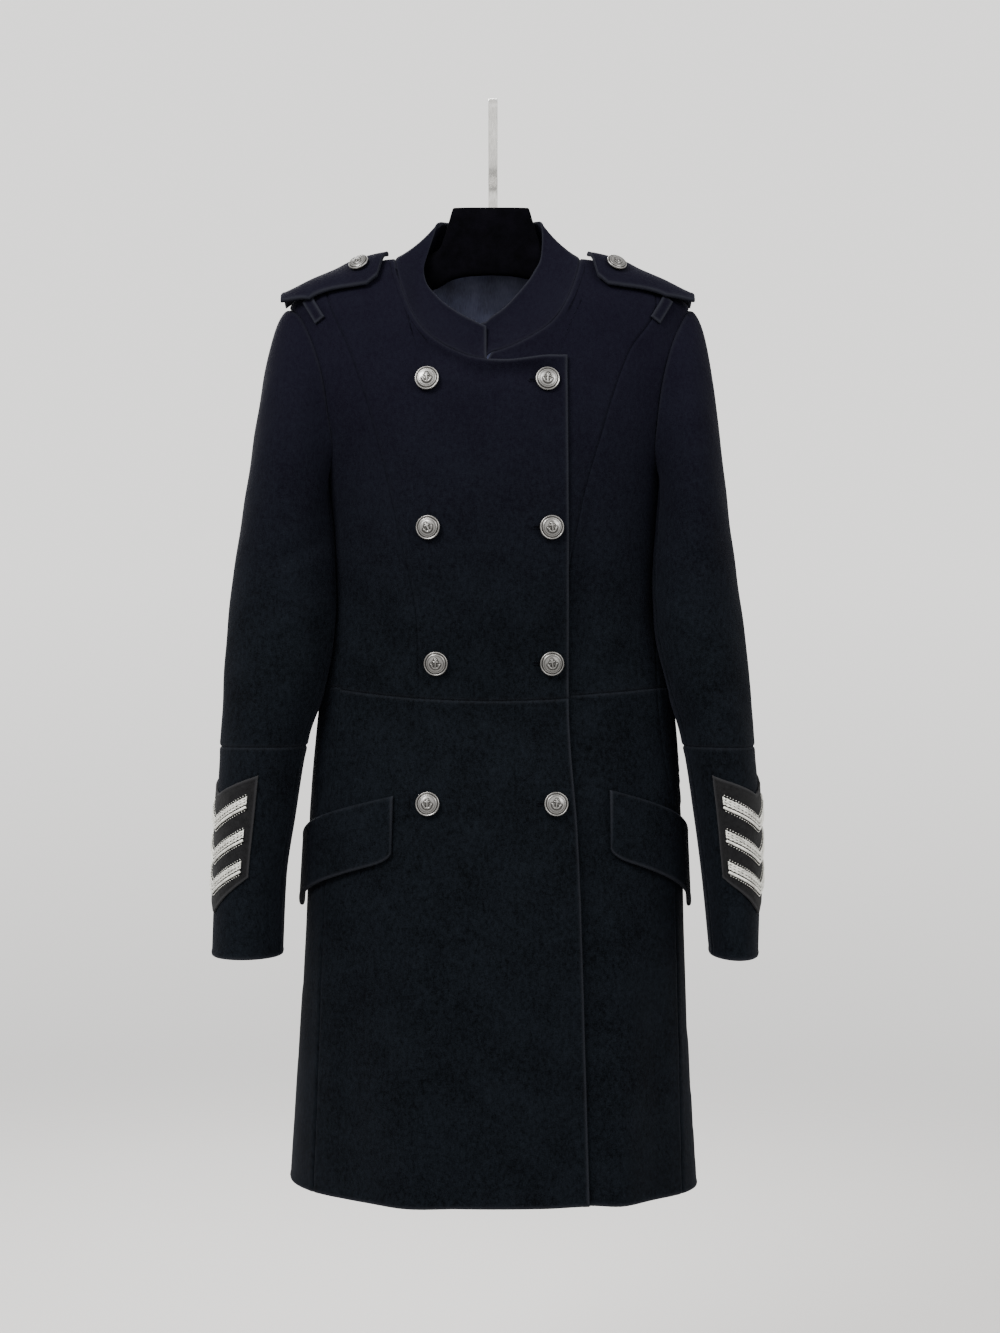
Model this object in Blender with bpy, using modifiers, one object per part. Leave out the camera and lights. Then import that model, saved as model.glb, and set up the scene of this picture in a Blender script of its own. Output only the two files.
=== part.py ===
"""Women's double-breasted melton coat with a waist seam, hanging closed on a velvet hanger.

The origin is the inner top of the hanger's hook, where it sits on a rod. X runs to the viewer's
right, Y away from the viewer and Z up, so the front of the coat faces -Y. Right and left are the
wearer's: the right front lies over the left front and its half of the coat is at -X.

The body is one curved form given by level sections. A point of it has a turn in degrees (0 at the
centre front, -90 at the wearer's right side, 90 at the left side, 180 at the centre back) and a
height. Each cut piece is a four-sided patch between its seams in turn and height, with a wall of
cloth inward of it. What lies on a piece is made from the same points, moved out.
"""

import math

import bmesh
import bpy
from mathutils import Vector

MM = 0.001
PROBE = 1.0
SHARP_EDGE_DEGREES = 40.0
SHORTEST_STEP = 1e-6
MERGE_DISTANCE = 0.00005

# Driving dimensions, in millimetres.
CLOTH = 2.5
SEAM_GAP = 0.3
LAYER_GAP = 1.4
COLLAR_CLOTH = 4.0
FLAP_CLOTH = 4.0
STRAP_CLOTH = 4.0
TAB_CLOTH = 2.0
FELT = 2.0
FELT_GAP = 1.2
BRAID_GAP = 0.4
CHEVRON_HEIGHT = 2.6
LINING_CLOTH = 1.5
SLEEVE_TO_BODY = 2.0
UNDERARM_GAP = 1.0
ARMHOLE_GAP = 0.5
HEM_HEIGHT = -1050.0
WAIST_CENTRE_HEIGHT = -580.4
WAIST_SIDE_HEIGHT = -567.8
WAIST_HALF_WIDTH = 160.0
UNDERLAP_WAIST_RISE = 3.0
UNDERLAP_EDGE_X = -45.0
OVERLAP_RISE_START_X = -125.0
OVERLAP_RISE_END_X = -68.0
OVERLAP_RISE_START_HEIGHT = -180.0
OVERLAP_RISE_FULL_HEIGHT = -235.0
OVERLAP_RISE = CLOTH + LAYER_GAP
NECK_HEIGHT = -154.0
CENTRE_BACK_NECK_HEIGHT = -147.0
SHOULDER_TIP_HEIGHT = -203.0
PRINCESS_TOP_HEIGHT = -176.0
ARMPIT_HEIGHT = -367.0
FRONT_BUTTON_DIAMETER = 23.0
SHOULDER_BUTTON_DIAMETER = 20.0
BUTTON_STEPS = 14
BUTTON_PROFILE = (
    # out, up: half the section from the dome's top to the shank's foot, in button radii
    (0.0, 0.64),
    (0.45, 0.59),
    (0.80, 0.42),
    (1.0, 0.36),
    (1.0, 0.24),
    (0.90, 0.17),
    (0.26, 0.17),
    (0.26, 0.0),
    (0.0, 0.0),
)
ROD_RADIUS = 8.0

# Level sections of the body: height, where it meets the viewer's left and right, how far it
# reaches to the front and back, how far back its widest points are, and how square it is.
SECTIONS = (
    # height, left, right, front, back, left_mid, right_mid, square
    (-140.0, -58.0, 48.0, -26.0, 36.0, 4.0, 4.0, 2.0),
    (-153.0, -88.0, 78.0, -32.0, 41.0, 3.0, 3.0, 2.1),
    (-156.0, -112.0, 102.0, -35.0, 43.0, 2.0, 2.0, 2.2),
    (-159.0, -130.0, 120.0, -37.0, 44.0, 2.0, 2.0, 2.3),
    (-170.0, -151.0, 141.0, -42.0, 46.0, 1.0, 1.0, 2.3),
    (-187.0, -184.0, 174.0, -49.0, 49.0, 0.0, 0.0, 2.3),
    (-203.0, -197.0, 190.0, -56.0, 51.0, 0.0, 0.0, 2.3),
    (-250.0, -196.0, 190.0, -66.0, 54.0, 0.0, 0.0, 2.3),
    (-300.0, -186.0, 182.0, -76.0, 55.0, 2.0, 2.0, 2.3),
    (-367.0, -166.0, 166.0, -83.0, 55.0, 5.0, 5.0, 2.3),
    (-420.0, -157.0, 160.0, -86.0, 54.0, 5.0, 5.0, 2.3),
    (-484.0, -155.0, 157.0, -81.0, 50.0, 3.0, 3.0, 2.3),
    (-580.0, -168.0, 175.0, -70.0, 46.0, 0.0, 0.0, 2.3),
    (-693.0, -178.0, 183.0, -79.0, 52.0, 4.0, 2.0, 2.3),
    (-799.0, -182.0, 185.0, -86.0, 55.0, 10.0, 2.0, 2.3),
    (-900.0, -189.0, 189.0, -92.0, 57.0, 22.0, 3.0, 2.2),
    (-1050.0, -200.0, 198.0, -99.0, 59.0, 42.0, 5.0, 2.1),
)

# Soft folds: centre across the front, where they start and are full, half width and rise.
FOLDS = (
    # x, start_height, full_height, half_width, rise
    (-82.0, -700.0, -1050.0, 34.0, 10.0),
    (122.0, -700.0, -1050.0, 24.0, 15.0),
    (93.0, -330.0, -430.0, 16.0, -3.0),
)

# Where the princess seams cross the front, and the side seams, by height.
PRINCESS_SEAM = (
    # height, right_x, left_x
    (-176.0, -163.0, 154.0),
    (-202.6, -155.9, 156.5),
    (-249.7, -135.5, 129.3),
    (-324.1, -111.0, 103.5),
    (-409.9, -90.1, 81.0),
    (-508.1, -70.6, 63.0),
    (-580.4, -68.7, 58.0),
)
SIDE_SEAM = (
    # height, right_x, left_x
    (-367.0, -165.8, 165.8),
    (-430.0, -153.0, 157.0),
    (-500.0, -148.0, 156.0),
    (-571.0, -146.0, 157.0),
    (-630.0, -150.0, 163.0),
    (-691.0, -156.0, 172.0),
    (-1050.0, -172.0, 181.0),
)
SIDE_SEAM_AT_WAIST = SIDE_SEAM[3]

# Armhole seam by height, on the front half and the back half.
ARMHOLE = (
    # height, right_front_x, left_front_x, right_back_x, left_back_x
    (-203.0, -197.0, 190.0, -197.0, 190.0),
    (-209.0, -189.0, 186.0, -190.0, 184.0),
    (-220.0, -181.0, 180.0, -184.0, 178.0),
    (-240.0, -172.0, 171.0, -176.0, 171.0),
    (-270.0, -162.5, 163.0, -169.0, 165.0),
    (-305.0, -157.0, 157.5, -164.0, 160.0),
    (-338.0, -153.0, 155.0, -160.0, 158.0),
    (-358.0, -157.0, 158.5, -161.0, 161.0),
    (-367.0, -166.0, 166.0, -166.0, 166.0),
)
LEVELS_BELOW_ARMPIT = (-398.0, -438.0, -482.0, -526.0)
TOP_COLUMNS_OF_SIDE = 3

# How many rows and columns each skirt panel has.
SKIRT_ROWS = 9
SKIRT_COLUMNS = {"right_front": 14, "left_front": 13, "back": 8}

# Closing edge of the right front, by height, and the top edge that runs free to it.
CLOSING_EDGE = (
    # height, x
    (-255.0, 69.9),
    (-579.5, 70.7),
    (-719.0, 79.5),
    (-903.1, 85.5),
    (-1050.0, 90.0),
)
UNDERLAP_TOP_EDGE = (
    # x, height
    (-9.0, -264.0),
    (-45.0, -266.0),
)
FREE_TOP_EDGE = (
    # x, height
    (14.0, -260.8),
    (33.0, -258.6),
    (52.0, -255.8),
    (69.9, -255.4),
)

# The collar from the centre back to its front end: where it is sewn on, and its top edge.
RIGHT_COLLAR = (
    # side, base_x, base_height, top_x, top_y, top_height
    ("back", -4.0, -147.0, -4.0, 36.0, -112.0),
    ("back", -45.0, -148.5, -28.0, 31.0, -112.0),
    ("back", -78.0, -151.5, -45.0, 18.0, -113.0),
    ("ridge", -91.0, -154.0, -52.5, 5.0, -115.5),
    ("front", -91.5, -170.0, -57.0, -6.0, -131.0),
    ("front", -86.2, -187.0, -62.0, -15.0, -150.0),
    ("front", -80.0, -204.5, -66.0, -23.0, -166.0),
    ("front", -71.2, -221.3, -63.5, -31.0, -180.0),
    ("front", -60.6, -234.3, -54.0, -38.0, -193.0),
    ("front", -49.1, -243.2, -41.0, -44.0, -205.0),
    ("front", -33.9, -251.4, -26.0, -49.5, -215.0),
    ("front", -19.7, -257.3, -15.5, -53.5, -221.0),
    ("front", -5.5, -260.1, -6.3, -56.5, -225.5),
)
LEFT_COLLAR = (
    # side, base_x, base_height, top_x, top_y, top_height
    ("back", -4.0, -147.0, -4.0, 36.0, -112.0),
    ("back", 36.0, -148.5, 20.0, 31.0, -112.0),
    ("back", 69.0, -151.5, 38.0, 18.0, -113.0),
    ("ridge", 81.0, -154.0, 46.0, 5.0, -114.5),
    ("front", 80.5, -171.0, 47.0, -6.0, -132.0),
    ("front", 73.8, -191.2, 45.5, -15.0, -153.0),
    ("front", 65.0, -209.2, 38.5, -25.0, -170.0),
    ("front", 53.4, -223.6, 27.5, -34.0, -186.0),
    ("front", 38.1, -234.7, 16.5, -40.0, -199.0),
    ("front", 23.8, -242.6, 7.0, -45.0, -209.0),
    ("front", 9.6, -248.6, -1.0, -48.0, -215.0),
    ("front", -0.8, -251.4, -5.9, -50.0, -219.5),
)
COLLAR_HOLLOW = 3.0
COLLAR_RISES = (0.0, 0.34, 0.67, 1.0)

# Sleeve sections by height: across from the outer to the inner side, middle and half depth.
RIGHT_SLEEVE = (
    # height, outer_x, inner_x, middle_y, half_depth
    (-400.0, -241.5, -161.0, -8.0, 61.0),
    (-450.0, -249.0, -158.5, -11.0, 59.0),
    (-500.0, -254.0, -158.0, -14.0, 57.0),
    (-560.0, -258.0, -166.0, -18.0, 55.0),
    (-624.0, -261.3, -178.5, -22.0, 53.0),
    (-690.0, -264.2, -189.0, -27.0, 51.0),
    (-750.0, -265.8, -197.5, -31.0, 50.0),
    (-822.0, -267.7, -200.4, -35.0, 49.0),
)
LEFT_SLEEVE = (
    # height, outer_x, inner_x, middle_y, half_depth
    (-400.0, 227.5, 164.0, -8.0, 64.0),
    (-450.0, 233.5, 161.0, -11.0, 62.0),
    (-500.0, 239.5, 163.0, -14.0, 60.0),
    (-560.0, 246.0, 172.0, -18.0, 58.0),
    (-624.0, 250.7, 182.5, -22.0, 56.0),
    (-690.0, 254.8, 192.5, -27.0, 55.0),
    (-750.0, 254.6, 200.0, -31.0, 54.0),
    (-822.0, 252.5, 206.8, -35.0, 54.0),
)
SLEEVE_TOP_HEIGHT = -400.0
UPPER_ARM_LEVELS = (-450.0, -500.0, -560.0, -624.0)
FOREARM_LEVELS = (-624.0, -675.0, -725.0, -775.0, -822.0)
SHOULDER_SEAM_HEIGHTS = (PRINCESS_TOP_HEIGHT, -166.0, -159.5, -156.0, NECK_HEIGHT)
CAP_STEPS = (0.0, 0.12, 0.3, 0.52, 0.76, 1.0)

# The way a sleeve leaves its armhole seam, and how far along that it runs before it turns down.
CAP_SEAM_SHARE = 0.55
CAP_SIDEWAYS = 0.8
CAP_DOWN = 0.15
CAP_DOWN_AT_ARMPIT = 1.2
CAP_LEAVE = 0.1
CAP_ARRIVE = 0.5
CAP_OWN_NORMAL_SHARES = (0.2, 0.9)
SLEEVE_COLUMNS = 16
FRONT_SLEEVE_SEAM = 7
BACK_SLEEVE_SEAM = 11

# Rank patches: their middle on each sleeve, half width, and edges by distance from the middle.
PATCH_TURN = {"right": 30.0, "left": 39.0}
PATCH_HALF_WIDTH = 46.0
PATCH_LEVEL = -715.0
WALK_STEPS = 16
PATCH_TOP_CORNER_HEIGHT = -650.0
PATCH_TOP_NOTCH_HEIGHT = -669.0
PATCH_BOTTOM_CORNER_HEIGHT = -745.0
PATCH_BOTTOM_TIP_HEIGHT = -781.0
CHEVRON_POINT_HEIGHTS = (-696.5, -727.5, -756.5)
CHEVRON_HALF_WIDTH = 39.0
CHEVRON_SLOPE_RISE = 23.0
CHEVRON_BAND = 11.5
CHEVRON_COLUMNS = 8
PATCH_ROWS = 3

# Pocket flaps: turn of the front and rear ends, and heights of their corners.
FLAPS = {
    # side: front_x, front_top, front_bottom, rear_turn, rear_top, rear_bottom
    "right": (-92.1, -669.8, -730.5, -101.0, -716.0, -785.0),
    "left": (109.5, -664.2, -727.0, 99.0, -712.0, -785.0),
}
FLAP_COLUMNS = 8
FLAP_ROWS = 3
FLAP_CORNER = 6.0
FLAP_GAP = 1.0
FLAP_REAR_LIFT = 5.0
FLAP_LIFT_AT_SEAM = 0.3

# Epaulettes, as seen from above; they are mirrored about the coat's own middle.
COAT_MIDDLE_X = -5.0
STRAP_STATIONS = (
    # from_middle, front_y, back_y, gap
    (196.0, -22.0, 20.0, 5.0),
    (186.0, -25.0, 18.0, 4.2),
    (170.0, -30.0, 15.0, 4.0),
    (150.0, -34.0, 12.0, 3.3),
    (130.0, -38.0, 9.0, 2.4),
    (114.0, -40.5, 6.0, 2.6),
    (104.0, -38.0, 0.0, 3.4),
    (99.5, -27.5, -5.0, 3.6),
    (95.0, -16.0, -10.0, 3.2),
)
STRAP_COLUMNS = 4
STRAP_FREE_FROM_MIDDLE = 168.0
STRAP_FREE_SLOPE = -0.53
SHOULDER_SEARCH = (-150.0, -320.0)
HALVINGS = 40
TAB_LINE = (
    # from_middle, height
    (172.0, -197.0),
    (168.0, -203.5),
    (163.5, -211.0),
    (159.0, -218.5),
)
TAB_WIDTH = 11.6
TAB_GAP = 0.9
SHOULDER_BUTTON_FROM_MIDDLE = 120.5
SHOULDER_BUTTON_Y = -24.0

# Front buttons by row: right-hand and left-hand column as the viewer sees them.
FRONT_BUTTONS = (
    # row, left_x, right_x, height, gap
    (1, -61.0, 51.0, -279.5, 0.6),
    (2, -59.0, 54.0, -418.5, 0.2),
    (3, -52.5, 54.7, -544.5, 0.6),
    (4, -60.0, 58.5, -677.0, 0.6),
)

# Hanger stations across, from the middle, and how square each section is.
HANGER_STATIONS = (
    # from_middle, top, bottom, half_depth, square
    (0.0, -103.0, -168.0, 6.5, 6.0),
    (20.0, -103.0, -169.0, 6.5, 6.0),
    (36.0, -103.5, -172.0, 6.8, 6.0),
    (40.5, -116.0, -174.0, 7.2, 5.0),
    (45.0, -131.0, -177.0, 7.6, 4.0),
    (50.0, -143.0, -180.0, 8.0, 3.4),
    (64.0, -152.0, -186.0, 9.5, 3.0),
    (90.0, -168.0, -196.0, 12.5, 2.4),
    (118.0, -166.5, -202.0, 15.0, 2.2),
    (140.0, -175.0, -206.0, 17.0, 2.2),
    (160.0, -185.5, -211.0, 17.5, 2.2),
    (172.0, -192.0, -213.0, 15.0, 2.2),
    (177.0, -197.0, -211.0, 9.0, 2.2),
)
HANGER_MIDDLE_X = -2.0
HANGER_SIDES = 16
HOOK_WIDTH = 8.8
HOOK_THICKNESS = 2.8
HOOK_FOOT_HEIGHT = -102.7
HOOK_JOG_LOW = -84.0
HOOK_JOG_HIGH = -70.0
HOOK_TIP_HEIGHT = -34.0
HOOK_ARC_STEPS = 12
SHARPEST_BEND = 0.5

# Lining at the back of the neck.
LINING_TURNS = (146.0, 214.0)
LINING_GAP = 1.6
LINING_TOP_HEIGHT = -164.0
LINING_BOTTOM_HEIGHT = -300.0
LINING_COLUMNS = 6
LINING_ROWS = 4

FINISHES = {
    # name: colour, roughness, metallic
    "melton": ((0.020, 0.022, 0.032), 0.95, 0.0),
    "felt": ((0.012, 0.012, 0.014), 0.95, 0.0),
    "silver_braid": ((0.55, 0.55, 0.53), 0.4, 0.9),
    "button_metal": ((0.45, 0.43, 0.40), 0.35, 1.0),
    "lining": ((0.22, 0.23, 0.30), 0.6, 0.0),
    "velvet": ((0.006, 0.006, 0.012), 0.95, 0.0),
    "steel": ((0.62, 0.62, 0.60), 0.3, 1.0),
}


def clear_scene():
    """Removes what the file opened with."""
    for thing in list(bpy.data.objects):
        bpy.data.objects.remove(thing, do_unlink=True)


def finish_material(name):
    """The named finish as a Principled material."""
    known = bpy.data.materials.get(name)
    if known:
        return known
    colour, roughness, metallic = FINISHES[name]
    material = bpy.data.materials.new(name)
    material.use_nodes = True
    shader = material.node_tree.nodes["Principled BSDF"]
    shader.inputs["Base Color"].default_value = (*colour, 1.0)
    shader.inputs["Roughness"].default_value = roughness
    shader.inputs["Metallic"].default_value = metallic
    return material


def add_mesh(name, mesh, finish, coat):
    """Places a finished mesh in the coat's collection."""
    piece = bpy.data.objects.new(name, mesh)
    coat.objects.link(piece)
    mesh.materials.append(finish_material(finish))
    mesh.shade_smooth()
    mesh.set_sharp_from_angle(angle=math.radians(SHARP_EDGE_DEGREES))
    return piece


def smooth_value(table, at, column):
    """Reads a column of a table at a place between its rows, smoothly and with no overshoot."""
    rows = sorted(table, key=lambda row: row[0])
    if at <= rows[0][0]:
        return rows[0][column]
    if at >= rows[-1][0]:
        return rows[-1][column]
    low = max(i for i in range(len(rows) - 1) if rows[i][0] <= at)

    def slope(i):
        return (rows[i + 1][column] - rows[i][column]) / (rows[i + 1][0] - rows[i][0])

    def tangent(i):
        if i in (0, len(rows) - 1):
            return slope(min(i, len(rows) - 2))
        before = slope(i - 1)
        after = slope(i)
        return 0.0 if before * after <= 0.0 else 2.0 * before * after / (before + after)

    step = rows[low + 1][0] - rows[low][0]
    s = (at - rows[low][0]) / step
    return (
        rows[low][column] * (1.0 + 2.0 * s) * (1.0 - s) ** 2
        + tangent(low) * step * s * (1.0 - s) ** 2
        + rows[low + 1][column] * s * s * (3.0 - 2.0 * s)
        + tangent(low + 1) * step * s * s * (s - 1.0)
    )


def smooth_step(value, start, end):
    """0 before start, 1 after end, and an even change between."""
    s = min(1.0, max(0.0, (value - start) / (end - start)))
    return s * s * (3.0 - 2.0 * s)


def section(height):
    """The body's level section: left, right, front, back, left_mid, right_mid, square."""
    return [smooth_value(SECTIONS, height, column) for column in range(1, 8)]


def fold_rise(x, height):
    """How far the soft folds push the front out at a place."""
    rise = 0.0
    for fold_x, start, full, half_width, fold in FOLDS:
        away = (x - fold_x) / half_width
        rise += fold * math.exp(-away * away) * smooth_step(-height, -start, -full)
    return rise


def body_point(turn, height):
    """A point of the body's outer face."""
    left, right, front, back, left_mid, right_mid, square = section(height)
    s = math.sin(math.radians(turn))
    c = math.cos(math.radians(turn))
    size = (abs(s) ** square + abs(c) ** square) ** (1.0 / square)
    across = s / size
    along = abs(c) / size
    x = (left + right) / 2.0 + across * (right - left) / 2.0
    middle = left_mid if across < 0.0 else right_mid
    end = front if c > 0.0 else back
    y = end + (middle - end) * (1.0 - along)
    if c > 0.0:
        y -= fold_rise(x, height) * along
    return Vector((x, y, height))


def body_normal(turn, height):
    """The way out of the body's face at a point."""
    around = body_point(turn + PROBE, height) - body_point(turn - PROBE, height)
    up = body_point(turn, height + PROBE) - body_point(turn, height - PROBE)
    return around.cross(up).normalized()


def overlap_rise(point):
    """How far the right front lies above the left front, none at the shoulder."""
    across = smooth_step(point.x, OVERLAP_RISE_START_X, OVERLAP_RISE_END_X)
    down = smooth_step(-point.z, -OVERLAP_RISE_START_HEIGHT, -OVERLAP_RISE_FULL_HEIGHT)
    return OVERLAP_RISE * across * down


def lifted_point(turn, height, lift):
    """A point of the body moved out, and the way out there."""
    point = body_point(turn, height)
    normal = body_normal(turn, height)
    return point + normal * lift(point), normal


def no_rise(_point):
    """Lies on the body itself."""
    return 0.0


def turn_at(x, height, half):
    """The turn at which the body's front or back half has this x."""
    left, right, *_rest, square = section(height)
    across = (x - (left + right) / 2.0) / ((right - left) / 2.0)
    across = max(-1.0, min(1.0, across))
    along = max(0.0, 1.0 - abs(across) ** square) ** (1.0 / square)
    if half == "back":
        along = -along
    return math.degrees(math.atan2(across, along))


def at(x, height, half="front"):
    """Turn and height of a place given by x and height."""
    return turn_at(x, height, half), height


def waist_height(x, rise=0.0):
    """Height of the waist seam, lowest at the centre front."""
    share = min(1.0, (x / WAIST_HALF_WIDTH) ** 2)
    return WAIST_CENTRE_HEIGHT + rise + (WAIST_SIDE_HEIGHT - WAIST_CENTRE_HEIGHT - rise) * share


def flat_place(turn, height, facing):
    """A place as x and height, with what lies round the side unrolled past the side's x."""
    left, right = section(height)[:2]
    x = body_point(turn, height).x
    on_front = math.cos(math.radians(turn)) >= 0.0
    if on_front != (facing == "front"):
        x = 2.0 * (left if x < (left + right) / 2.0 else right) - x
    return x, height


def round_place(x, height, facing):
    """The turn and height of an unrolled place."""
    left, right = section(height)[:2]
    if left <= x <= right:
        return at(x, height, facing)
    side_x = left if x < left else right
    return at(2.0 * side_x - x, height, "back" if facing == "front" else "front")


def patch(left, right, top, bottom, facing="front"):
    """A four-sided patch of turn and height from lists along its sides, as rows of columns."""
    rows = len(left) - 1
    columns = len(top) - 1
    left, right, top, bottom = (
        [flat_place(turn, height, facing) for turn, height in line]
        for line in (left, right, top, bottom)
    )
    grid = []
    for j in range(rows + 1):
        v = (left[0][1] - left[j][1]) / (left[0][1] - left[-1][1])
        row = []
        for i in range(columns + 1):
            u = i / columns
            x, height = (
                (1 - v) * top[i][k] + v * bottom[i][k] + (1 - u) * left[j][k] + u * right[j][k]
                - (1 - u) * (1 - v) * top[0][k] - u * (1 - v) * top[-1][k]
                - (1 - u) * v * bottom[0][k] - u * v * bottom[-1][k]
                for k in (0, 1)
            )
            row.append(round_place(x, height, facing))
        grid.append(row)
    return grid


def spread(first, last, count):
    """Even steps from the first to the last value, both included."""
    return [first + (last - first) * i / count for i in range(count + 1)]


def drawn_in(points, amount):
    """The grid with each edge moved inward along the surface, which leaves a gap at a seam."""
    rows = len(points)
    columns = len(points[0])
    moved = [[point.copy() for point in row] for row in points]

    def shift(j, i, inner_j, inner_i, before, after):
        along = (points[after[0]][after[1]] - points[before[0]][before[1]]).normalized()
        inward = points[inner_j][inner_i] - points[j][i]
        inward -= along * inward.dot(along)
        if inward.length > SHORTEST_STEP:
            moved[j][i] += inward.normalized() * amount

    for j in range(rows):
        up = (max(j - 1, 0), min(j + 1, rows - 1))
        shift(j, 0, j, 1, (up[0], 0), (up[1], 0))
        shift(j, columns - 1, j, columns - 2, (up[0], columns - 1), (up[1], columns - 1))
    for i in range(columns):
        side = (max(i - 1, 0), min(i + 1, columns - 1))
        shift(0, i, 1, i, (0, side[0]), (0, side[1]))
        shift(rows - 1, i, rows - 2, i, (rows - 1, side[0]), (rows - 1, side[1]))
    return moved


def wall(name, outer, inner, finish, coat):
    """A closed wall between an outer and an inner grid of points, joined round the rim."""
    rows = len(outer)
    columns = len(outer[0])
    cloth = bmesh.new()
    out_verts = [[cloth.verts.new(point * MM) for point in row] for row in outer]
    in_verts = [[cloth.verts.new(point * MM) for point in row] for row in inner]
    for j in range(rows - 1):
        for i in range(columns - 1):
            cloth.faces.new(
                (out_verts[j][i], out_verts[j + 1][i], out_verts[j + 1][i + 1], out_verts[j][i + 1])
            )
            cloth.faces.new(
                (in_verts[j][i], in_verts[j][i + 1], in_verts[j + 1][i + 1], in_verts[j + 1][i])
            )
    rim = [(0, i) for i in range(columns)]
    rim += [(j, columns - 1) for j in range(1, rows)]
    rim += [(rows - 1, i) for i in range(columns - 2, -1, -1)]
    rim += [(j, 0) for j in range(rows - 2, 0, -1)]
    for (j, i), (next_j, next_i) in zip(rim, rim[1:] + rim[:1]):
        cloth.faces.new(
            (out_verts[j][i], out_verts[next_j][next_i], in_verts[next_j][next_i], in_verts[j][i])
        )
    bmesh.ops.recalc_face_normals(cloth, faces=cloth.faces)
    if cloth.calc_volume(signed=True) < 0.0:
        bmesh.ops.reverse_faces(cloth, faces=cloth.faces)
    mesh = bpy.data.meshes.new(name)
    cloth.to_mesh(mesh)
    cloth.free()
    return add_mesh(name, mesh, finish, coat)


def body_panel(name, grid, lift, coat, thickness=CLOTH):
    """A cut piece of the body: the patch on the body's face with a wall inward of it."""
    placed = [[lifted_point(turn, height, lift) for turn, height in row] for row in grid]
    outer = drawn_in([[point for point, _normal in row] for row in placed], SEAM_GAP / 2.0)
    inner = [
        [point - normal * thickness for point, (_place, normal) in zip(row, places)]
        for row, places in zip(outer, placed)
    ]
    return wall(name, outer, inner, "melton", coat)


def side_sign(side):
    """-1 for the wearer's right, which is at -X, and 1 for the left."""
    return -1.0 if side == "right" else 1.0


def armhole_line(side, half):
    """Turn and height down the armhole seam, from the shoulder tip to the armpit."""
    column = {"right": 1, "left": 2}[side] + (2 if half == "back" else 0)
    line = [(at(row[column], row[0], half)) for row in ARMHOLE]
    end_turn = 90.0 * side_sign(side)
    line[0] = (end_turn, ARMHOLE[0][0])
    line[-1] = (end_turn, ARMHOLE[-1][0])
    return line


def side_seam_point(side, height):
    """Turn and height on the side seam."""
    return at(smooth_value(SIDE_SEAM, height, {"right": 1, "left": 2}[side]), height)


def outer_line(side, half):
    """The armhole and the side seam below it, down to the waist."""
    line = armhole_line(side, half)
    line += [side_seam_point(side, height) for height in LEVELS_BELOW_ARMPIT]
    line.append(side_seam_point(side, WAIST_SIDE_HEIGHT))
    return line


def share_down(side):
    """How far down the bodice each level of the outer line is, from 0 to 1."""
    heights = [height for _turn, height in outer_line(side, "front")]
    return [(heights[0] - height) / (heights[0] - heights[-1]) for height in heights]


def princess_line(side, waist):
    """The princess seam at the same number of levels as the outer line."""
    column = {"right": 1, "left": 2}[side]
    line = []
    for (_turn, height), share in zip(outer_line(side, "front"), share_down(side)):
        top_raise = (PRINCESS_TOP_HEIGHT - SHOULDER_TIP_HEIGHT) * (1.0 - share) ** 2
        level = height + top_raise + (waist - WAIST_SIDE_HEIGHT) * share
        line.append(at(smooth_value(PRINCESS_SEAM, level, column), level))
    line[0] = (90.0 * side_sign(side), PRINCESS_TOP_HEIGHT)
    return line


def ridge_line(side, first, last, count):
    """Places along the shoulder seam between two heights."""
    return [(90.0 * side_sign(side), height) for height in spread(first, last, count)]


def neck_line(collar, half):
    """The collar's sewn edge on the front or back half, from the shoulder to its end."""
    line = []
    for kind, x, height, *_top in collar:
        if kind == "ridge":
            line.append((90.0 if x > 0.0 else -90.0, NECK_HEIGHT))
        elif kind == half:
            line.append(at(x, height, half))
    return line


def level_line(line_from, top, bottom):
    """Heights between a top and a bottom in the same shares as another line's heights."""
    first = line_from[0][1]
    last = line_from[-1][1]
    return [top + (bottom - top) * (first - height) / (first - last) for _turn, height in line_from]


def bottom_line(first_x, last_x, count, rise=0.0):
    """Places along the waist seam across the front."""
    return [at(x, waist_height(x, rise)) for x in spread(first_x, last_x, count)]


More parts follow.
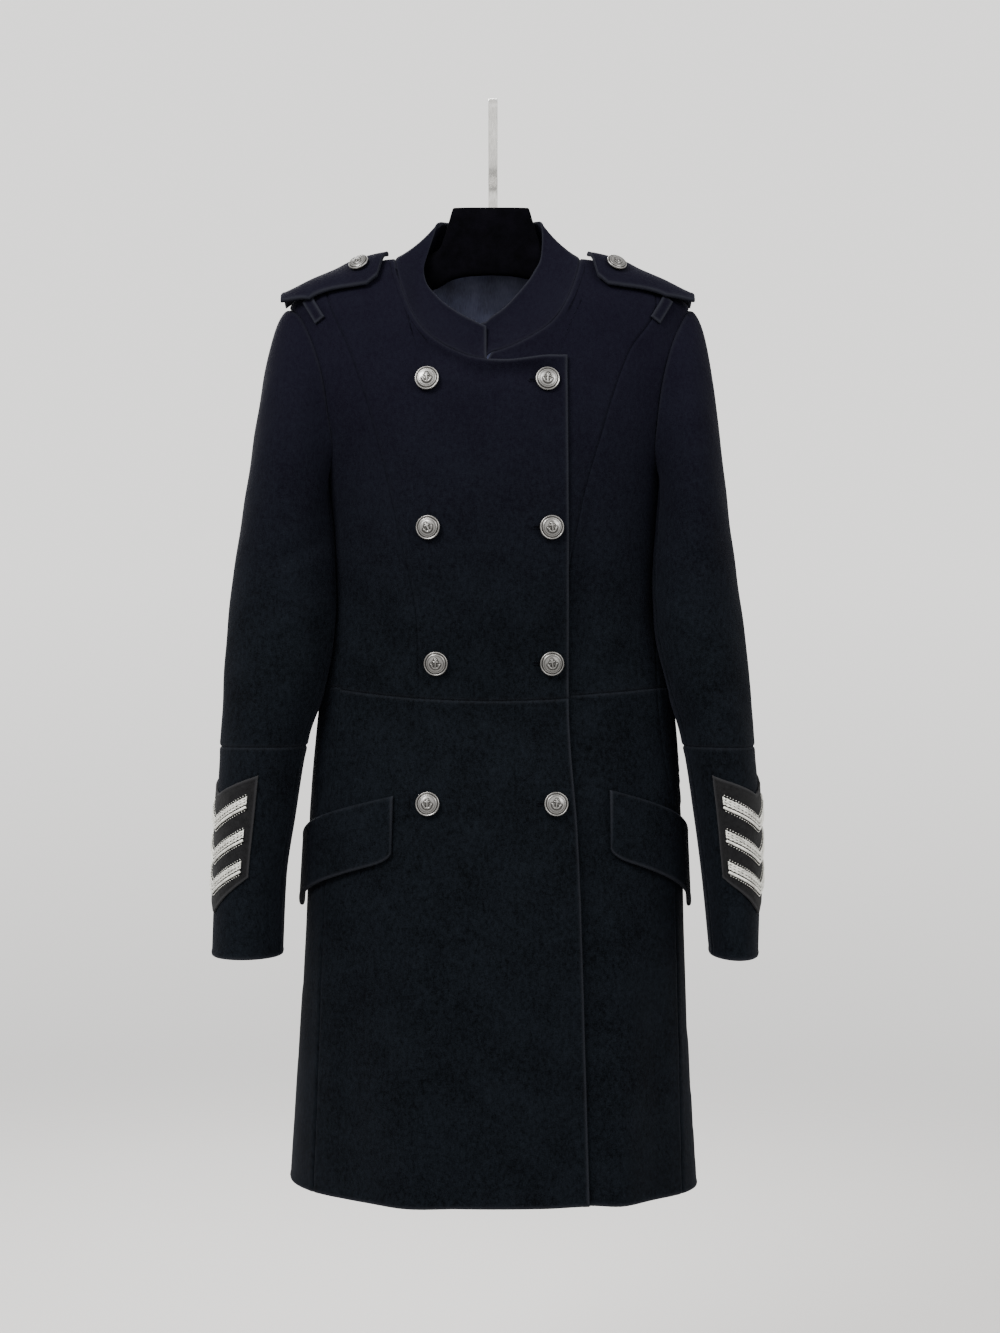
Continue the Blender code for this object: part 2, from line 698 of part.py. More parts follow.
def build_bodice(coat):
    """The upper body: two front centres, two front sides and two backs."""
    princess_waist = {
        "right": waist_height(PRINCESS_SEAM[-1][1]),
        "left": waist_height(PRINCESS_SEAM[-1][2], UNDERLAP_WAIST_RISE),
    }
    princess = {side: princess_line(side, princess_waist[side]) for side in ("right", "left")}
    lifts = {"right": overlap_rise, "left": no_rise}

    for side, column in (("right", 1), ("left", 2)):
        outer = outer_line(side, "front")
        rise = UNDERLAP_WAIST_RISE if side == "left" else 0.0
        inner_x = PRINCESS_SEAM[-1][column]
        outer_x = SIDE_SEAM_AT_WAIST[column]
        bottom = bottom_line(inner_x, outer_x, TOP_COLUMNS_OF_SIDE, rise)
        bottom[0] = princess[side][-1]
        bottom[-1] = outer[-1]
        top = ridge_line(side, PRINCESS_TOP_HEIGHT, SHOULDER_TIP_HEIGHT, TOP_COLUMNS_OF_SIDE)
        grid = patch(princess[side], outer, top, bottom)
        body_panel(f"{side}_front_side", grid, lifts[side], coat)

    ridge = [(-90.0, height) for height in SHOULDER_SEAM_HEIGHTS]
    top = ridge[:-1] + neck_line(RIGHT_COLLAR, "front") + [at(x, z) for x, z in FREE_TOP_EDGE]
    heights = level_line(princess["right"], CLOSING_EDGE[0][0], waist_height(CLOSING_EDGE[1][1]))
    edge = [at(smooth_value(CLOSING_EDGE, height, 1), height) for height in heights]
    top[-1] = edge[0]
    bottom = bottom_line(PRINCESS_SEAM[-1][1], CLOSING_EDGE[1][1], len(top) - 1)
    bottom[0] = princess["right"][-1]
    bottom[-1] = edge[-1]
    grid = patch(princess["right"], edge, top, bottom)
    body_panel("right_front_centre", grid, overlap_rise, coat)

    ridge = [(90.0, height) for height in SHOULDER_SEAM_HEIGHTS]
    hidden = [at(x, height) for x, height in UNDERLAP_TOP_EDGE]
    top = ridge[:-1] + neck_line(LEFT_COLLAR, "front") + hidden
    low = waist_height(UNDERLAP_EDGE_X, UNDERLAP_WAIST_RISE)
    heights = level_line(princess["left"], hidden[-1][1], low)
    edge = [at(UNDERLAP_EDGE_X, height) for height in heights]
    bottom = bottom_line(PRINCESS_SEAM[-1][2], UNDERLAP_EDGE_X, len(top) - 1, UNDERLAP_WAIST_RISE)
    bottom[0] = princess["left"][-1]
    bottom[-1] = edge[-1]
    grid = patch(princess["left"], edge, top, bottom)
    body_panel("left_front_centre", grid, no_rise, coat)

    for side, collar in (("right", RIGHT_COLLAR), ("left", LEFT_COLLAR)):
        sign = side_sign(side)
        centre_turn = 180.0 * sign
        outer = outer_line(side, "back")
        ridge = [(90.0 * sign, height) for height in reversed(SHOULDER_SEAM_HEIGHTS)]
        tip = ridge_line(side, PRINCESS_TOP_HEIGHT, SHOULDER_TIP_HEIGHT, TOP_COLUMNS_OF_SIDE)
        ridge += tip[1:]
        top = order_back_neck(collar, centre_turn) + ridge
        heights = level_line(outer, CENTRE_BACK_NECK_HEIGHT, WAIST_SIDE_HEIGHT)
        centre = [(centre_turn, height) for height in heights]
        end_turn = outer[-1][0]
        bottom = [
            (turn, WAIST_SIDE_HEIGHT) for turn in spread(centre_turn, end_turn, len(top) - 1)
        ]
        grid = patch(centre, outer, top, bottom, "back")
        body_panel(f"{side}_back", grid, no_rise, coat)


def order_back_neck(collar, centre_turn):
    """The back neck from the centre back up to, and without, the shoulder."""
    line = [(centre_turn, CENTRE_BACK_NECK_HEIGHT)]
    for kind, x, height, *_top in collar[1:]:
        if kind == "back":
            line.append(at(x, height, "back"))
    return line


def build_skirt(coat):
    """The lower body: two fronts that lap and two backs."""
    side_heights = spread(WAIST_SIDE_HEIGHT, HEM_HEIGHT, SKIRT_ROWS)

    side = [side_seam_point("right", height) for height in side_heights]
    heights = spread(waist_height(CLOSING_EDGE[1][1]), HEM_HEIGHT, SKIRT_ROWS)
    edge = [at(smooth_value(CLOSING_EDGE, height, 1), height) for height in heights]
    columns = SKIRT_COLUMNS["right_front"]
    top = bottom_line(SIDE_SEAM_AT_WAIST[1], CLOSING_EDGE[1][1], columns)
    bottom = [at(x, HEM_HEIGHT) for x in spread(SIDE_SEAM[-1][1], CLOSING_EDGE[-1][1], columns)]
    join_corners(side, edge, top, bottom)
    body_panel("right_front_skirt", patch(side, edge, top, bottom), overlap_rise, coat)

    side = [side_seam_point("left", height) for height in side_heights]
    heights = spread(waist_height(UNDERLAP_EDGE_X, UNDERLAP_WAIST_RISE), HEM_HEIGHT, SKIRT_ROWS)
    edge = [at(UNDERLAP_EDGE_X, height) for height in heights]
    columns = SKIRT_COLUMNS["left_front"]
    top = bottom_line(SIDE_SEAM_AT_WAIST[2], UNDERLAP_EDGE_X, columns, UNDERLAP_WAIST_RISE)
    bottom = [at(x, HEM_HEIGHT) for x in spread(SIDE_SEAM[-1][2], UNDERLAP_EDGE_X, columns)]
    join_corners(side, edge, top, bottom)
    body_panel("left_front_skirt", patch(side, edge, top, bottom), no_rise, coat)

    for side_name in ("right", "left"):
        centre_turn = 180.0 * side_sign(side_name)
        side = [side_seam_point(side_name, height) for height in side_heights]
        centre = [(centre_turn, height) for height in side_heights]
        columns = SKIRT_COLUMNS["back"]
        top = [(turn, WAIST_SIDE_HEIGHT) for turn in spread(centre_turn, side[0][0], columns)]
        bottom = [(turn, HEM_HEIGHT) for turn in spread(centre_turn, side[-1][0], columns)]
        join_corners(centre, side, top, bottom)
        grid = patch(centre, side, top, bottom, "back")
        body_panel(f"{side_name}_back_skirt", grid, no_rise, coat)


def join_corners(left, right, top, bottom):
    """Makes the top and bottom lists end exactly on the sides."""
    top[0], top[-1] = left[0], right[0]
    bottom[0], bottom[-1] = left[-1], right[-1]


def grid_normals(points, closed=False, flip=1.0):
    """The way out at each point of a grid whose columns run round and whose rows run down."""
    rows = len(points)
    columns = len(points[0])
    normals = []
    for j in range(rows):
        row = []
        for i in range(columns):
            if closed:
                before, after = (i - 1) % columns, (i + 1) % columns
            else:
                before, after = max(i - 1, 0), min(i + 1, columns - 1)
            around = points[j][after] - points[j][before]
            up = points[max(j - 1, 0)][i] - points[min(j + 1, rows - 1)][i]
            row.append(around.cross(up).normalized() * flip)
        normals.append(row)
    return normals


def moved_along(points, normals, distance):
    """A grid of points moved along their normals."""
    return [
        [point + normal * distance for point, normal in zip(row, ways)]
        for row, ways in zip(points, normals)
    ]


def collar_base(row, side):
    """Turn and height where a collar column is sewn on."""
    kind, x, height = row[:3]
    if row[1:3] == (RIGHT_COLLAR[0][1], CENTRE_BACK_NECK_HEIGHT):
        return 180.0 * side_sign(side), CENTRE_BACK_NECK_HEIGHT
    if kind == "ridge":
        return 90.0 * side_sign(side), NECK_HEIGHT
    return at(x, height, kind)


def build_collar(coat):
    """The stand collar's two halves, each a wall that leans in from the neck seam."""
    for side, table, lift in (("right", RIGHT_COLLAR, overlap_rise), ("left", LEFT_COLLAR, no_rise)):
        based = [lifted_point(*collar_base(row, side), lift) for row in table]
        tops = [Vector(row[3:6]) for row in table]
        points = [
            [base.lerp(top, rise) for (base, _normal), top in zip(based, tops)]
            for rise in reversed(COLLAR_RISES)
        ]
        normals = grid_normals(points, flip=-side_sign(side))
        for row in normals:
            row[0] = Vector((0.0, row[0].y, row[0].z)).normalized()
        hollow = [COLLAR_HOLLOW * 4.0 * rise * (1.0 - rise) for rise in reversed(COLLAR_RISES)]
        points = [
            [point - normal * depth for point, normal in zip(row, ways)]
            for row, ways, depth in zip(points, normals, hollow)
        ]
        normals[-1] = [normal for _base, normal in based]
        outer = drawn_in(points, SEAM_GAP)
        inner = moved_along(outer, normals, -COLLAR_CLOTH)
        inner[-1] = moved_along(outer, normals, -CLOTH)[-1]
        wall(f"{side}_collar", outer, inner, "melton", coat)


def sleeve_point(side, angle, height):
    """A point of a sleeve's outer face: angle 0 is its outer side, 90 its front, 180 its inner."""
    table = RIGHT_SLEEVE if side == "right" else LEFT_SLEEVE
    outer_x, inner_x, middle_y, half_depth = (smooth_value(table, height, k) for k in range(1, 5))
    across = math.cos(math.radians(angle))
    forward = math.sin(math.radians(angle))
    x = (outer_x + inner_x) / 2.0 + (outer_x - inner_x) / 2.0 * across
    return beside_body(Vector((x, middle_y - half_depth * forward, height)), side)


def beside_body(point, side):
    """The point, moved sideways where it would come closer to the body than a sleeve may."""
    if point.z > ARMPIT_HEIGHT:
        return point
    left, right, front, back, left_mid, right_mid, square = section(point.z)
    middle = left_mid if side == "right" else right_mid
    reach = (middle - point.y) / (middle - front) if point.y < middle else (
        (point.y - middle) / (back - middle)
    )
    across = max(0.0, 1.0 - abs(reach) ** square) ** (1.0 / square)
    limit = (left + right) / 2.0 + side_sign(side) * ((right - left) / 2.0 * across)
    limit += side_sign(side) * SLEEVE_TO_BODY
    moved = point.copy()
    moved.x = min(point.x, limit) if side == "right" else max(point.x, limit)
    return moved


def sleeve_rings(side):
    """All rings of a sleeve from the armhole down, and the way out at each of their points."""
    front = armhole_line(side, "front")
    back = armhole_line(side, "back")
    loop = front + back[-2:0:-1]
    sign = side_sign(side)
    rings = [[] for _step in CAP_STEPS]
    seam_normals = []
    for k, (turn, height) in enumerate(loop):
        angle = 360.0 * k / SLEEVE_COLUMNS
        inner_share = (1.0 - math.cos(math.radians(angle))) / 2.0
        start = body_point(turn, height)
        seam_normal = body_normal(turn, height)
        start += seam_normal * (ARMHOLE_GAP + (UNDERARM_GAP - ARMHOLE_GAP) * inner_share)
        end = sleeve_point(side, angle, SLEEVE_TOP_HEIGHT)
        span = (end - start).length
        down = CAP_DOWN + CAP_DOWN_AT_ARMPIT * inner_share ** 4
        out = seam_normal * CAP_SEAM_SHARE + Vector((sign * CAP_SIDEWAYS, 0.0, -down))
        leave = start + out.normalized() * span * CAP_LEAVE
        upward = end - sleeve_point(side, angle, UPPER_ARM_LEVELS[0])
        arrive = end + upward.normalized() * span * CAP_ARRIVE
        for ring, t in zip(rings, CAP_STEPS):
            point = start * (1 - t) ** 3 + leave * 3 * t * (1 - t) ** 2
            point += arrive * 3 * t * t * (1 - t) + end * t ** 3
            ring.append(beside_body(point, side) if t > 0.0 else point)
        seam_normals.append(seam_normal)
    for height in UPPER_ARM_LEVELS + FOREARM_LEVELS[1:]:
        rings.append(
            [
                sleeve_point(side, 360.0 * k / SLEEVE_COLUMNS, height)
                for k in range(SLEEVE_COLUMNS)
            ]
        )
    normals = grid_normals(rings, closed=True, flip=-sign)
    for k, seam_normal in enumerate(seam_normals):
        inner_share = (1.0 - math.cos(2.0 * math.pi * k / SLEEVE_COLUMNS)) / 2.0
        own = smooth_step(inner_share, *CAP_OWN_NORMAL_SHARES)
        normals[0][k] = seam_normal.lerp(normals[0][k], own).normalized()
    return rings, normals


def build_sleeves(coat):
    """Each sleeve's four pieces: top and under sleeve, above and below the forearm seam."""
    seam_row = len(CAP_STEPS) + len(UPPER_ARM_LEVELS) - 1
    top_columns = list(range(BACK_SLEEVE_SEAM, SLEEVE_COLUMNS)) + list(range(FRONT_SLEEVE_SEAM + 1))
    under_columns = list(range(FRONT_SLEEVE_SEAM, BACK_SLEEVE_SEAM + 1))
    for side in ("right", "left"):
        rings, normals = sleeve_rings(side)
        for part_name, columns in (("top", top_columns), ("under", under_columns)):
            for stretch, first, last in (
                ("upper", 0, seam_row),
                ("forearm", seam_row, len(rings) - 1),
            ):
                points = [[rings[j][k] for k in columns] for j in range(first, last + 1)]
                ways = [[normals[j][k] for k in columns] for j in range(first, last + 1)]
                outer = drawn_in(points, SEAM_GAP / 2.0)
                inner = moved_along(outer, ways, -CLOTH)
                wall(f"{side}_sleeve_{stretch}_{part_name}", outer, inner, "melton", coat)


def sleeve_normal(side, angle, height):
    """The way out of a sleeve's face."""
    around = sleeve_point(side, angle + PROBE, height) - sleeve_point(side, angle - PROBE, height)
    up = sleeve_point(side, angle, height + PROBE) - sleeve_point(side, angle, height - PROBE)
    return around.cross(up).normalized() * -side_sign(side)


def angle_from_patch_middle(side, distance):
    """The sleeve angle at a distance along the cloth from the patch's middle, front positive."""
    angle = PATCH_TURN[side]
    for _step in range(WALK_STEPS):
        ahead = sleeve_point(side, angle + 1.0, PATCH_LEVEL) - sleeve_point(side, angle, PATCH_LEVEL)
        angle += distance / WALK_STEPS / ahead.length
    return angle


def on_sleeve(side, distance, height, rise):
    """A point a given rise above the sleeve, placed from the patch's middle line."""
    angle = angle_from_patch_middle(side, distance)
    return sleeve_point(side, angle, height) + sleeve_normal(side, angle, height) * rise


def applied_band(name, side, distances, top, bottom, rows, low, high, finish, coat):
    """A flat piece sewn on the sleeve, between two edges given by distance from the middle."""
    grids = []
    for rise in (high, low):
        grid = []
        for j in range(rows + 1):
            share = j / rows
            grid.append(
                [
                    on_sleeve(side, d, top(d) + (bottom(d) - top(d)) * share, rise)
                    for d in distances
                ]
            )
        grids.append(grid)
    wall(name, grids[0], grids[1], finish, coat)


def build_patches(coat):
    """The felt rank patch of each sleeve, with its three raised chevrons."""

    def patch_top(distance):
        share = abs(distance) / PATCH_HALF_WIDTH
        return PATCH_TOP_NOTCH_HEIGHT + (PATCH_TOP_CORNER_HEIGHT - PATCH_TOP_NOTCH_HEIGHT) * share

    def patch_bottom(distance):
        share = abs(distance) / PATCH_HALF_WIDTH
        return PATCH_BOTTOM_TIP_HEIGHT + (
            (PATCH_BOTTOM_CORNER_HEIGHT - PATCH_BOTTOM_TIP_HEIGHT) * share
        )

    braid_low = FELT_GAP + FELT + BRAID_GAP
    for side in ("right", "left"):
        stitched = spread(-CHEVRON_HALF_WIDTH, CHEVRON_HALF_WIDTH, CHEVRON_COLUMNS)
        distances = [-PATCH_HALF_WIDTH, *stitched, PATCH_HALF_WIDTH]
        applied_band(
            f"{side}_patch", side, distances, patch_top, patch_bottom, PATCH_ROWS,
            FELT_GAP, FELT_GAP + FELT, "felt", coat,
        )
        for number, point_height in enumerate(CHEVRON_POINT_HEIGHTS, 1):

            def band_top(distance, point_height=point_height):
                rise = CHEVRON_SLOPE_RISE * abs(distance) / CHEVRON_HALF_WIDTH
                return point_height + rise + CHEVRON_BAND / 2.0

            def band_bottom(distance, point_height=point_height):
                return band_top(distance, point_height) - CHEVRON_BAND

            applied_band(
                f"{side}_chevron_{number}", side, stitched, band_top, band_bottom, 1,
                braid_low, braid_low + CHEVRON_HEIGHT, "silver_braid", coat,
            )


def build_flaps(coat):
    """The slanted pocket flaps, sewn along the top and standing off towards the rear tip."""
    for side, (front_x, front_top, front_bottom, rear_turn, rear_top, rear_bottom) in FLAPS.items():
        lift = overlap_rise if side == "right" else no_rise
        front_turn = turn_at(front_x, front_top, "front")
        first = turn_at(front_x + side_sign(side) * FLAP_CORNER, front_bottom, "front")
        turns = [front_turn] + spread(first, rear_turn, FLAP_COLUMNS - 1)
        outer = []
        inner = []
        for j in range(FLAP_ROWS + 1):
            share = j / FLAP_ROWS
            outer_row = []
            inner_row = []
            for i, turn in enumerate(turns):
                along = (turn - front_turn) / (rear_turn - front_turn)
                top = front_top + (rear_top - front_top) * along
                bottom = front_bottom + (rear_bottom - front_bottom) * along
                if i == 0:
                    bottom += FLAP_CORNER
                height = top + (bottom - top) * share
                point, normal = lifted_point(turn, height, lift)
                lift_share = FLAP_LIFT_AT_SEAM + (1.0 - FLAP_LIFT_AT_SEAM) * share
                gap = FLAP_GAP + FLAP_REAR_LIFT * along * along * lift_share
                inner_row.append(point + normal * gap)
                outer_row.append(point + normal * (gap + FLAP_CLOTH))
            outer.append(outer_row)
            inner.append(inner_row)
        wall(f"{side}_pocket_flap", outer, inner, "melton", coat)


def shoulder_height(x, y):
    """The height of the shoulder's face above a place, found between two levels by halving."""
    high, low = SHOULDER_SEARCH
    for _step in range(HALVINGS):
        height = (high + low) / 2.0
        left, right, front, back, left_mid, right_mid, square = section(height)
        across = (x - (left + right) / 2.0) / ((right - left) / 2.0)
        middle = left_mid if across < 0.0 else right_mid
        along = (middle - y) / (middle - front) if y < middle else (y - middle) / (back - middle)
        if abs(across) ** square + abs(along) ** square > 1.0:
            high = height
        else:
            low = height
    return (high + low) / 2.0


def shoulder_place(side, from_middle, y):
    """A point on the shoulder and the way out, carried on straight past the armhole."""
    sign = side_sign(side)

    def point_at(distance, depth):
        x = COAT_MIDDLE_X + sign * distance
        inside = min(distance, STRAP_FREE_FROM_MIDDLE)
        height = shoulder_height(COAT_MIDDLE_X + sign * inside, depth)
        height += STRAP_FREE_SLOPE * (distance - inside)
        return Vector((x, depth, height))

    point = point_at(from_middle, y)
    across = point_at(from_middle - PROBE, y) - point_at(from_middle + PROBE, y)
    back = point_at(from_middle, y + PROBE) - point_at(from_middle, y - PROBE)
    normal = across.cross(back).normalized()
    return point, normal if normal.z > 0.0 else -normal


def build_epaulettes(coat):
    """The shoulder straps, and the carrier tab below each near the sleeve."""
    for side in ("right", "left"):
        outer = []
        inner = []
        for from_middle, front_y, back_y, gap in STRAP_STATIONS:
            outer_row = []
            inner_row = []
            for y in spread(front_y, back_y, STRAP_COLUMNS):
                point, normal = shoulder_place(side, from_middle, y)
                inner_row.append(point + normal * gap)
                outer_row.append(point + normal * (gap + STRAP_CLOTH))
            outer.append(outer_row)
            inner.append(inner_row)
        wall(f"{side}_epaulette", outer, inner, "melton", coat)

        sign = side_sign(side)
        spots = [at(COAT_MIDDLE_X + sign * away, height) for away, height in TAB_LINE]
        centres = [body_point(*spot) for spot in spots]
        ways = [body_normal(*spot) for spot in spots]
        outer = []
        inner = []
        for i, (centre, normal) in enumerate(zip(centres, ways)):
            along = centres[min(i + 1, len(centres) - 1)] - centres[max(i - 1, 0)]
            across = along.cross(normal).normalized() * TAB_WIDTH / 2.0
            edges = (centre - across, centre, centre + across)
            inner.append([edge + normal * TAB_GAP for edge in edges])
            outer.append([edge + normal * (TAB_GAP + TAB_CLOTH) for edge in edges])
        wall(f"{side}_epaulette_tab", outer, inner, "melton", coat)


def add_button(name, place, normal, diameter, coat):
    """A turned metal button that stands on its shank."""
    profile = bpy.data.meshes.new(name)
    scale = diameter / 2.0 * MM
    points = [(out * scale, 0.0, up * scale) for out, up in BUTTON_PROFILE]
    profile.from_pydata(points, [(i, i + 1) for i in range(len(points) - 1)], [])
    profile.materials.append(finish_material("button_metal"))
    button = bpy.data.objects.new(name, profile)
    coat.objects.link(button)
    turned = button.modifiers.new("turned", "SCREW")
    turned.axis = "Z"
    turned.angle = math.radians(360.0)
    turned.steps = BUTTON_STEPS
    turned.render_steps = BUTTON_STEPS
    turned.use_merge_vertices = True
    turned.merge_threshold = MERGE_DISTANCE
    turned.use_smooth_shade = True
    button.rotation_mode = "QUATERNION"
    button.rotation_quaternion = normal.to_track_quat("Z", "Y")
    button.location = place * MM
    return button


def build_buttons(coat):
    """The eight front buttons and the two shoulder buttons."""
    for row, left_x, right_x, height, gap in FRONT_BUTTONS:
        for column, x in (("right", left_x), ("left", right_x)):
            point, normal = lifted_point(turn_at(x, height, "front"), height, overlap_rise)
            place = point + normal * gap
            add_button(f"button_{column}_{row}", place, normal, FRONT_BUTTON_DIAMETER, coat)
    for side in ("right", "left"):
        point, normal = shoulder_place(side, SHOULDER_BUTTON_FROM_MIDDLE, SHOULDER_BUTTON_Y)
        gap = smooth_value(STRAP_STATIONS, SHOULDER_BUTTON_FROM_MIDDLE, 3)
        place = point + normal * (gap + STRAP_CLOTH + SEAM_GAP)
        add_button(f"{side}_shoulder_button", place, normal, SHOULDER_BUTTON_DIAMETER, coat)


def build_lining(coat):
    """The strip of lining that shows inside the back of the neck."""
    grid = [
        [(turn, height) for turn in spread(*LINING_TURNS, LINING_COLUMNS)]
        for height in spread(LINING_TOP_HEIGHT, LINING_BOTTOM_HEIGHT, LINING_ROWS)
    ]
    placed = [[(body_point(*spot), body_normal(*spot)) for spot in row] for row in grid]
    depth = CLOTH + LINING_GAP
    outer = [[point - normal * depth for point, normal in row] for row in placed]
    inner = [[point - normal * (depth + LINING_CLOTH) for point, normal in row] for row in placed]
    wall("back_neck_lining", outer, inner, "lining", coat)


def build_hanger(coat):
    """The hanger's body, lofted along its arms, and its flat steel hook."""
    stations = [(-row[0], *row[1:]) for row in reversed(HANGER_STATIONS[1:])] + list(HANGER_STATIONS)
    body = bmesh.new()
    rings = []
    for from_middle, top, bottom, half_depth, square in stations:
        ring = []
        for k in range(HANGER_SIDES):
            angle = 2.0 * math.pi * k / HANGER_SIDES
            c = math.cos(angle)
            s = math.sin(angle)
            size = (abs(c) ** square + abs(s) ** square) ** (1.0 / square)
            y = half_depth * c / size
            z = (top + bottom) / 2.0 + (top - bottom) / 2.0 * s / size
            ring.append(body.verts.new(Vector((HANGER_MIDDLE_X + from_middle, y, z)) * MM))
        rings.append(ring)
    for ring, following in zip(rings, rings[1:]):
        for k in range(HANGER_SIDES):
            after = (k + 1) % HANGER_SIDES
            body.faces.new((ring[k], ring[after], following[after], following[k]))
    body.faces.new(rings[0])
    body.faces.new(list(reversed(rings[-1])))
    bmesh.ops.recalc_face_normals(body, faces=body.faces)
    mesh = bpy.data.meshes.new("hanger_body")
    body.to_mesh(mesh)
    body.free()
    add_mesh("hanger_body", mesh, "velvet", coat)

    reach = ROD_RADIUS + HOOK_THICKNESS / 2.0
    path = [(0.0, HOOK_FOOT_HEIGHT), (0.0, HOOK_JOG_LOW), (-reach, HOOK_JOG_HIGH)]
    for angle in spread(180.0, 0.0, HOOK_ARC_STEPS):
        turn = math.radians(angle)
        path.append((reach * math.cos(turn), -ROD_RADIUS + reach * math.sin(turn)))
    path.append((reach, HOOK_TIP_HEIGHT))
    hook = bmesh.new()
    outline = strip_outline(path, HOOK_THICKNESS)
    verts = [hook.verts.new(Vector((-HOOK_WIDTH / 2.0, y, z)) * MM) for y, z in outline]
    face = hook.faces.new(verts)
    grown = bmesh.ops.extrude_face_region(hook, geom=[face])
    moved = [item for item in grown["geom"] if isinstance(item, bmesh.types.BMVert)]
    bmesh.ops.translate(hook, verts=moved, vec=Vector((HOOK_WIDTH * MM, 0.0, 0.0)))
    bmesh.ops.recalc_face_normals(hook, faces=hook.faces)
    mesh = bpy.data.meshes.new("hanger_hook")
    hook.to_mesh(mesh)
    hook.free()
    add_mesh("hanger_hook", mesh, "steel", coat)


def strip_outline(path, thickness):
    """The outline of a strip of even thickness along a flat path."""
    sides = ([], [])
    for i, (y, z) in enumerate(path):
        before = path[max(i - 1, 0)]
        after = path[min(i + 1, len(path) - 1)]
        first = Vector((y - before[0], z - before[1])).normalized() if i else None
        second = Vector((after[0] - y, after[1] - z)).normalized() if i < len(path) - 1 else None
        way = ((first or second) + (second or first)).normalized()
        across = Vector((-way.y, way.x))
        stretch = 1.0 / max(SHARPEST_BEND, way.dot(first or second))
        for side, half in zip(sides, (thickness / 2.0, -thickness / 2.0)):
            side.append((y + across.x * half * stretch, z + across.y * half * stretch))
    return sides[0] + sides[1][::-1]


def main():
    """Builds every piece of the coat and its hanger."""
    clear_scene()
    coat = bpy.data.collections.new("pea_coat")
    bpy.context.scene.collection.children.link(coat)
    build_bodice(coat)
    build_skirt(coat)
    build_collar(coat)
    build_sleeves(coat)
    build_patches(coat)
    build_flaps(coat)
    build_epaulettes(coat)
    build_buttons(coat)
    build_lining(coat)
    build_hanger(coat)


main()
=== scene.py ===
"""Dressed model of a women's double-breasted melton coat hanging closed on a velvet hanger.

The coat's form is given again here by the same level sections, seam lines and tables as its
solids, read on a finer grid. Sizes are in millimetres and are turned into metres where a mesh is
made. Right and left are the wearer's: the right front lies over the left, and the wearer's right
is at -X. A turn is the angle round the body, 0 at the centre front and 180 at the centre back.
"""

import logging
import math
from dataclasses import dataclass, field
from enum import Enum
from itertools import combinations

import bmesh
import bpy
import numpy as np
from mathutils import Matrix, Vector


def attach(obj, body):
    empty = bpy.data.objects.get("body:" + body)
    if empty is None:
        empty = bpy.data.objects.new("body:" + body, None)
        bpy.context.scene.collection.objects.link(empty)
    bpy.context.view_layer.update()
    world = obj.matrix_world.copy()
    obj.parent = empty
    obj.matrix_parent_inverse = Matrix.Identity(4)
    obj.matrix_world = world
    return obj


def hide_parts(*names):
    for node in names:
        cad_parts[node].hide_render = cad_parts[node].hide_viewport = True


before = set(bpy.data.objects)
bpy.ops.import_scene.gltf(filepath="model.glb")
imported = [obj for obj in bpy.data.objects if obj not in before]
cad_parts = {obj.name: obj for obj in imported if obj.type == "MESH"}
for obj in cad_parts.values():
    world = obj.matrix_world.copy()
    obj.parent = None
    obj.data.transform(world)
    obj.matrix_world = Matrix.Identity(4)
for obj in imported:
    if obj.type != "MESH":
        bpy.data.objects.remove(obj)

LOG = logging.getLogger("coat")
MM = 0.001


class Side(Enum):
    """The wearer's side of a piece."""

    RIGHT = "right"
    LEFT = "left"

    @property
    def sign(self) -> float:
        """-1 for the wearer's right, which is at -X, and 1 for the left."""
        return -1.0 if self is Side.RIGHT else 1.0


class Half(Enum):
    """The front or the back half of the body."""

    FRONT = "front"
    BACK = "back"


class Slot(Enum):
    """The record's material slots."""

    MELTON = "melton"
    FELT = "felt"
    SILVER_BRAID = "silver_braid"
    BUTTON_METAL = "button_metal"
    LINING = "lining"
    VELVET = "velvet"
    STEEL = "steel"


def smooth_step(value: np.ndarray, start: float, end: float) -> np.ndarray:
    """An even change from 0 before start to 1 after end.

    Args:
        value: Where to read the change.
        start: Where it begins.
        end: Where it is complete.

    Returns:
        The share, from 0 to 1.
    """
    s = np.clip((value - start) / (end - start), 0.0, 1.0)
    return s * s * (3.0 - 2.0 * s)


def bell(distance: np.ndarray, half_width: float) -> np.ndarray:
    """A smooth bump of height 1 at distance 0.

    Args:
        distance: Distance from the bump's middle.
        half_width: Distance at which it has fallen to about a third.

    Returns:
        The bump's height.
    """
    return np.exp(-((distance / half_width) ** 2))


def unit(vectors: np.ndarray) -> np.ndarray:
    """The vectors scaled to length 1."""
    return vectors / np.maximum(np.linalg.norm(vectors, axis=-1, keepdims=True), 1e-9)


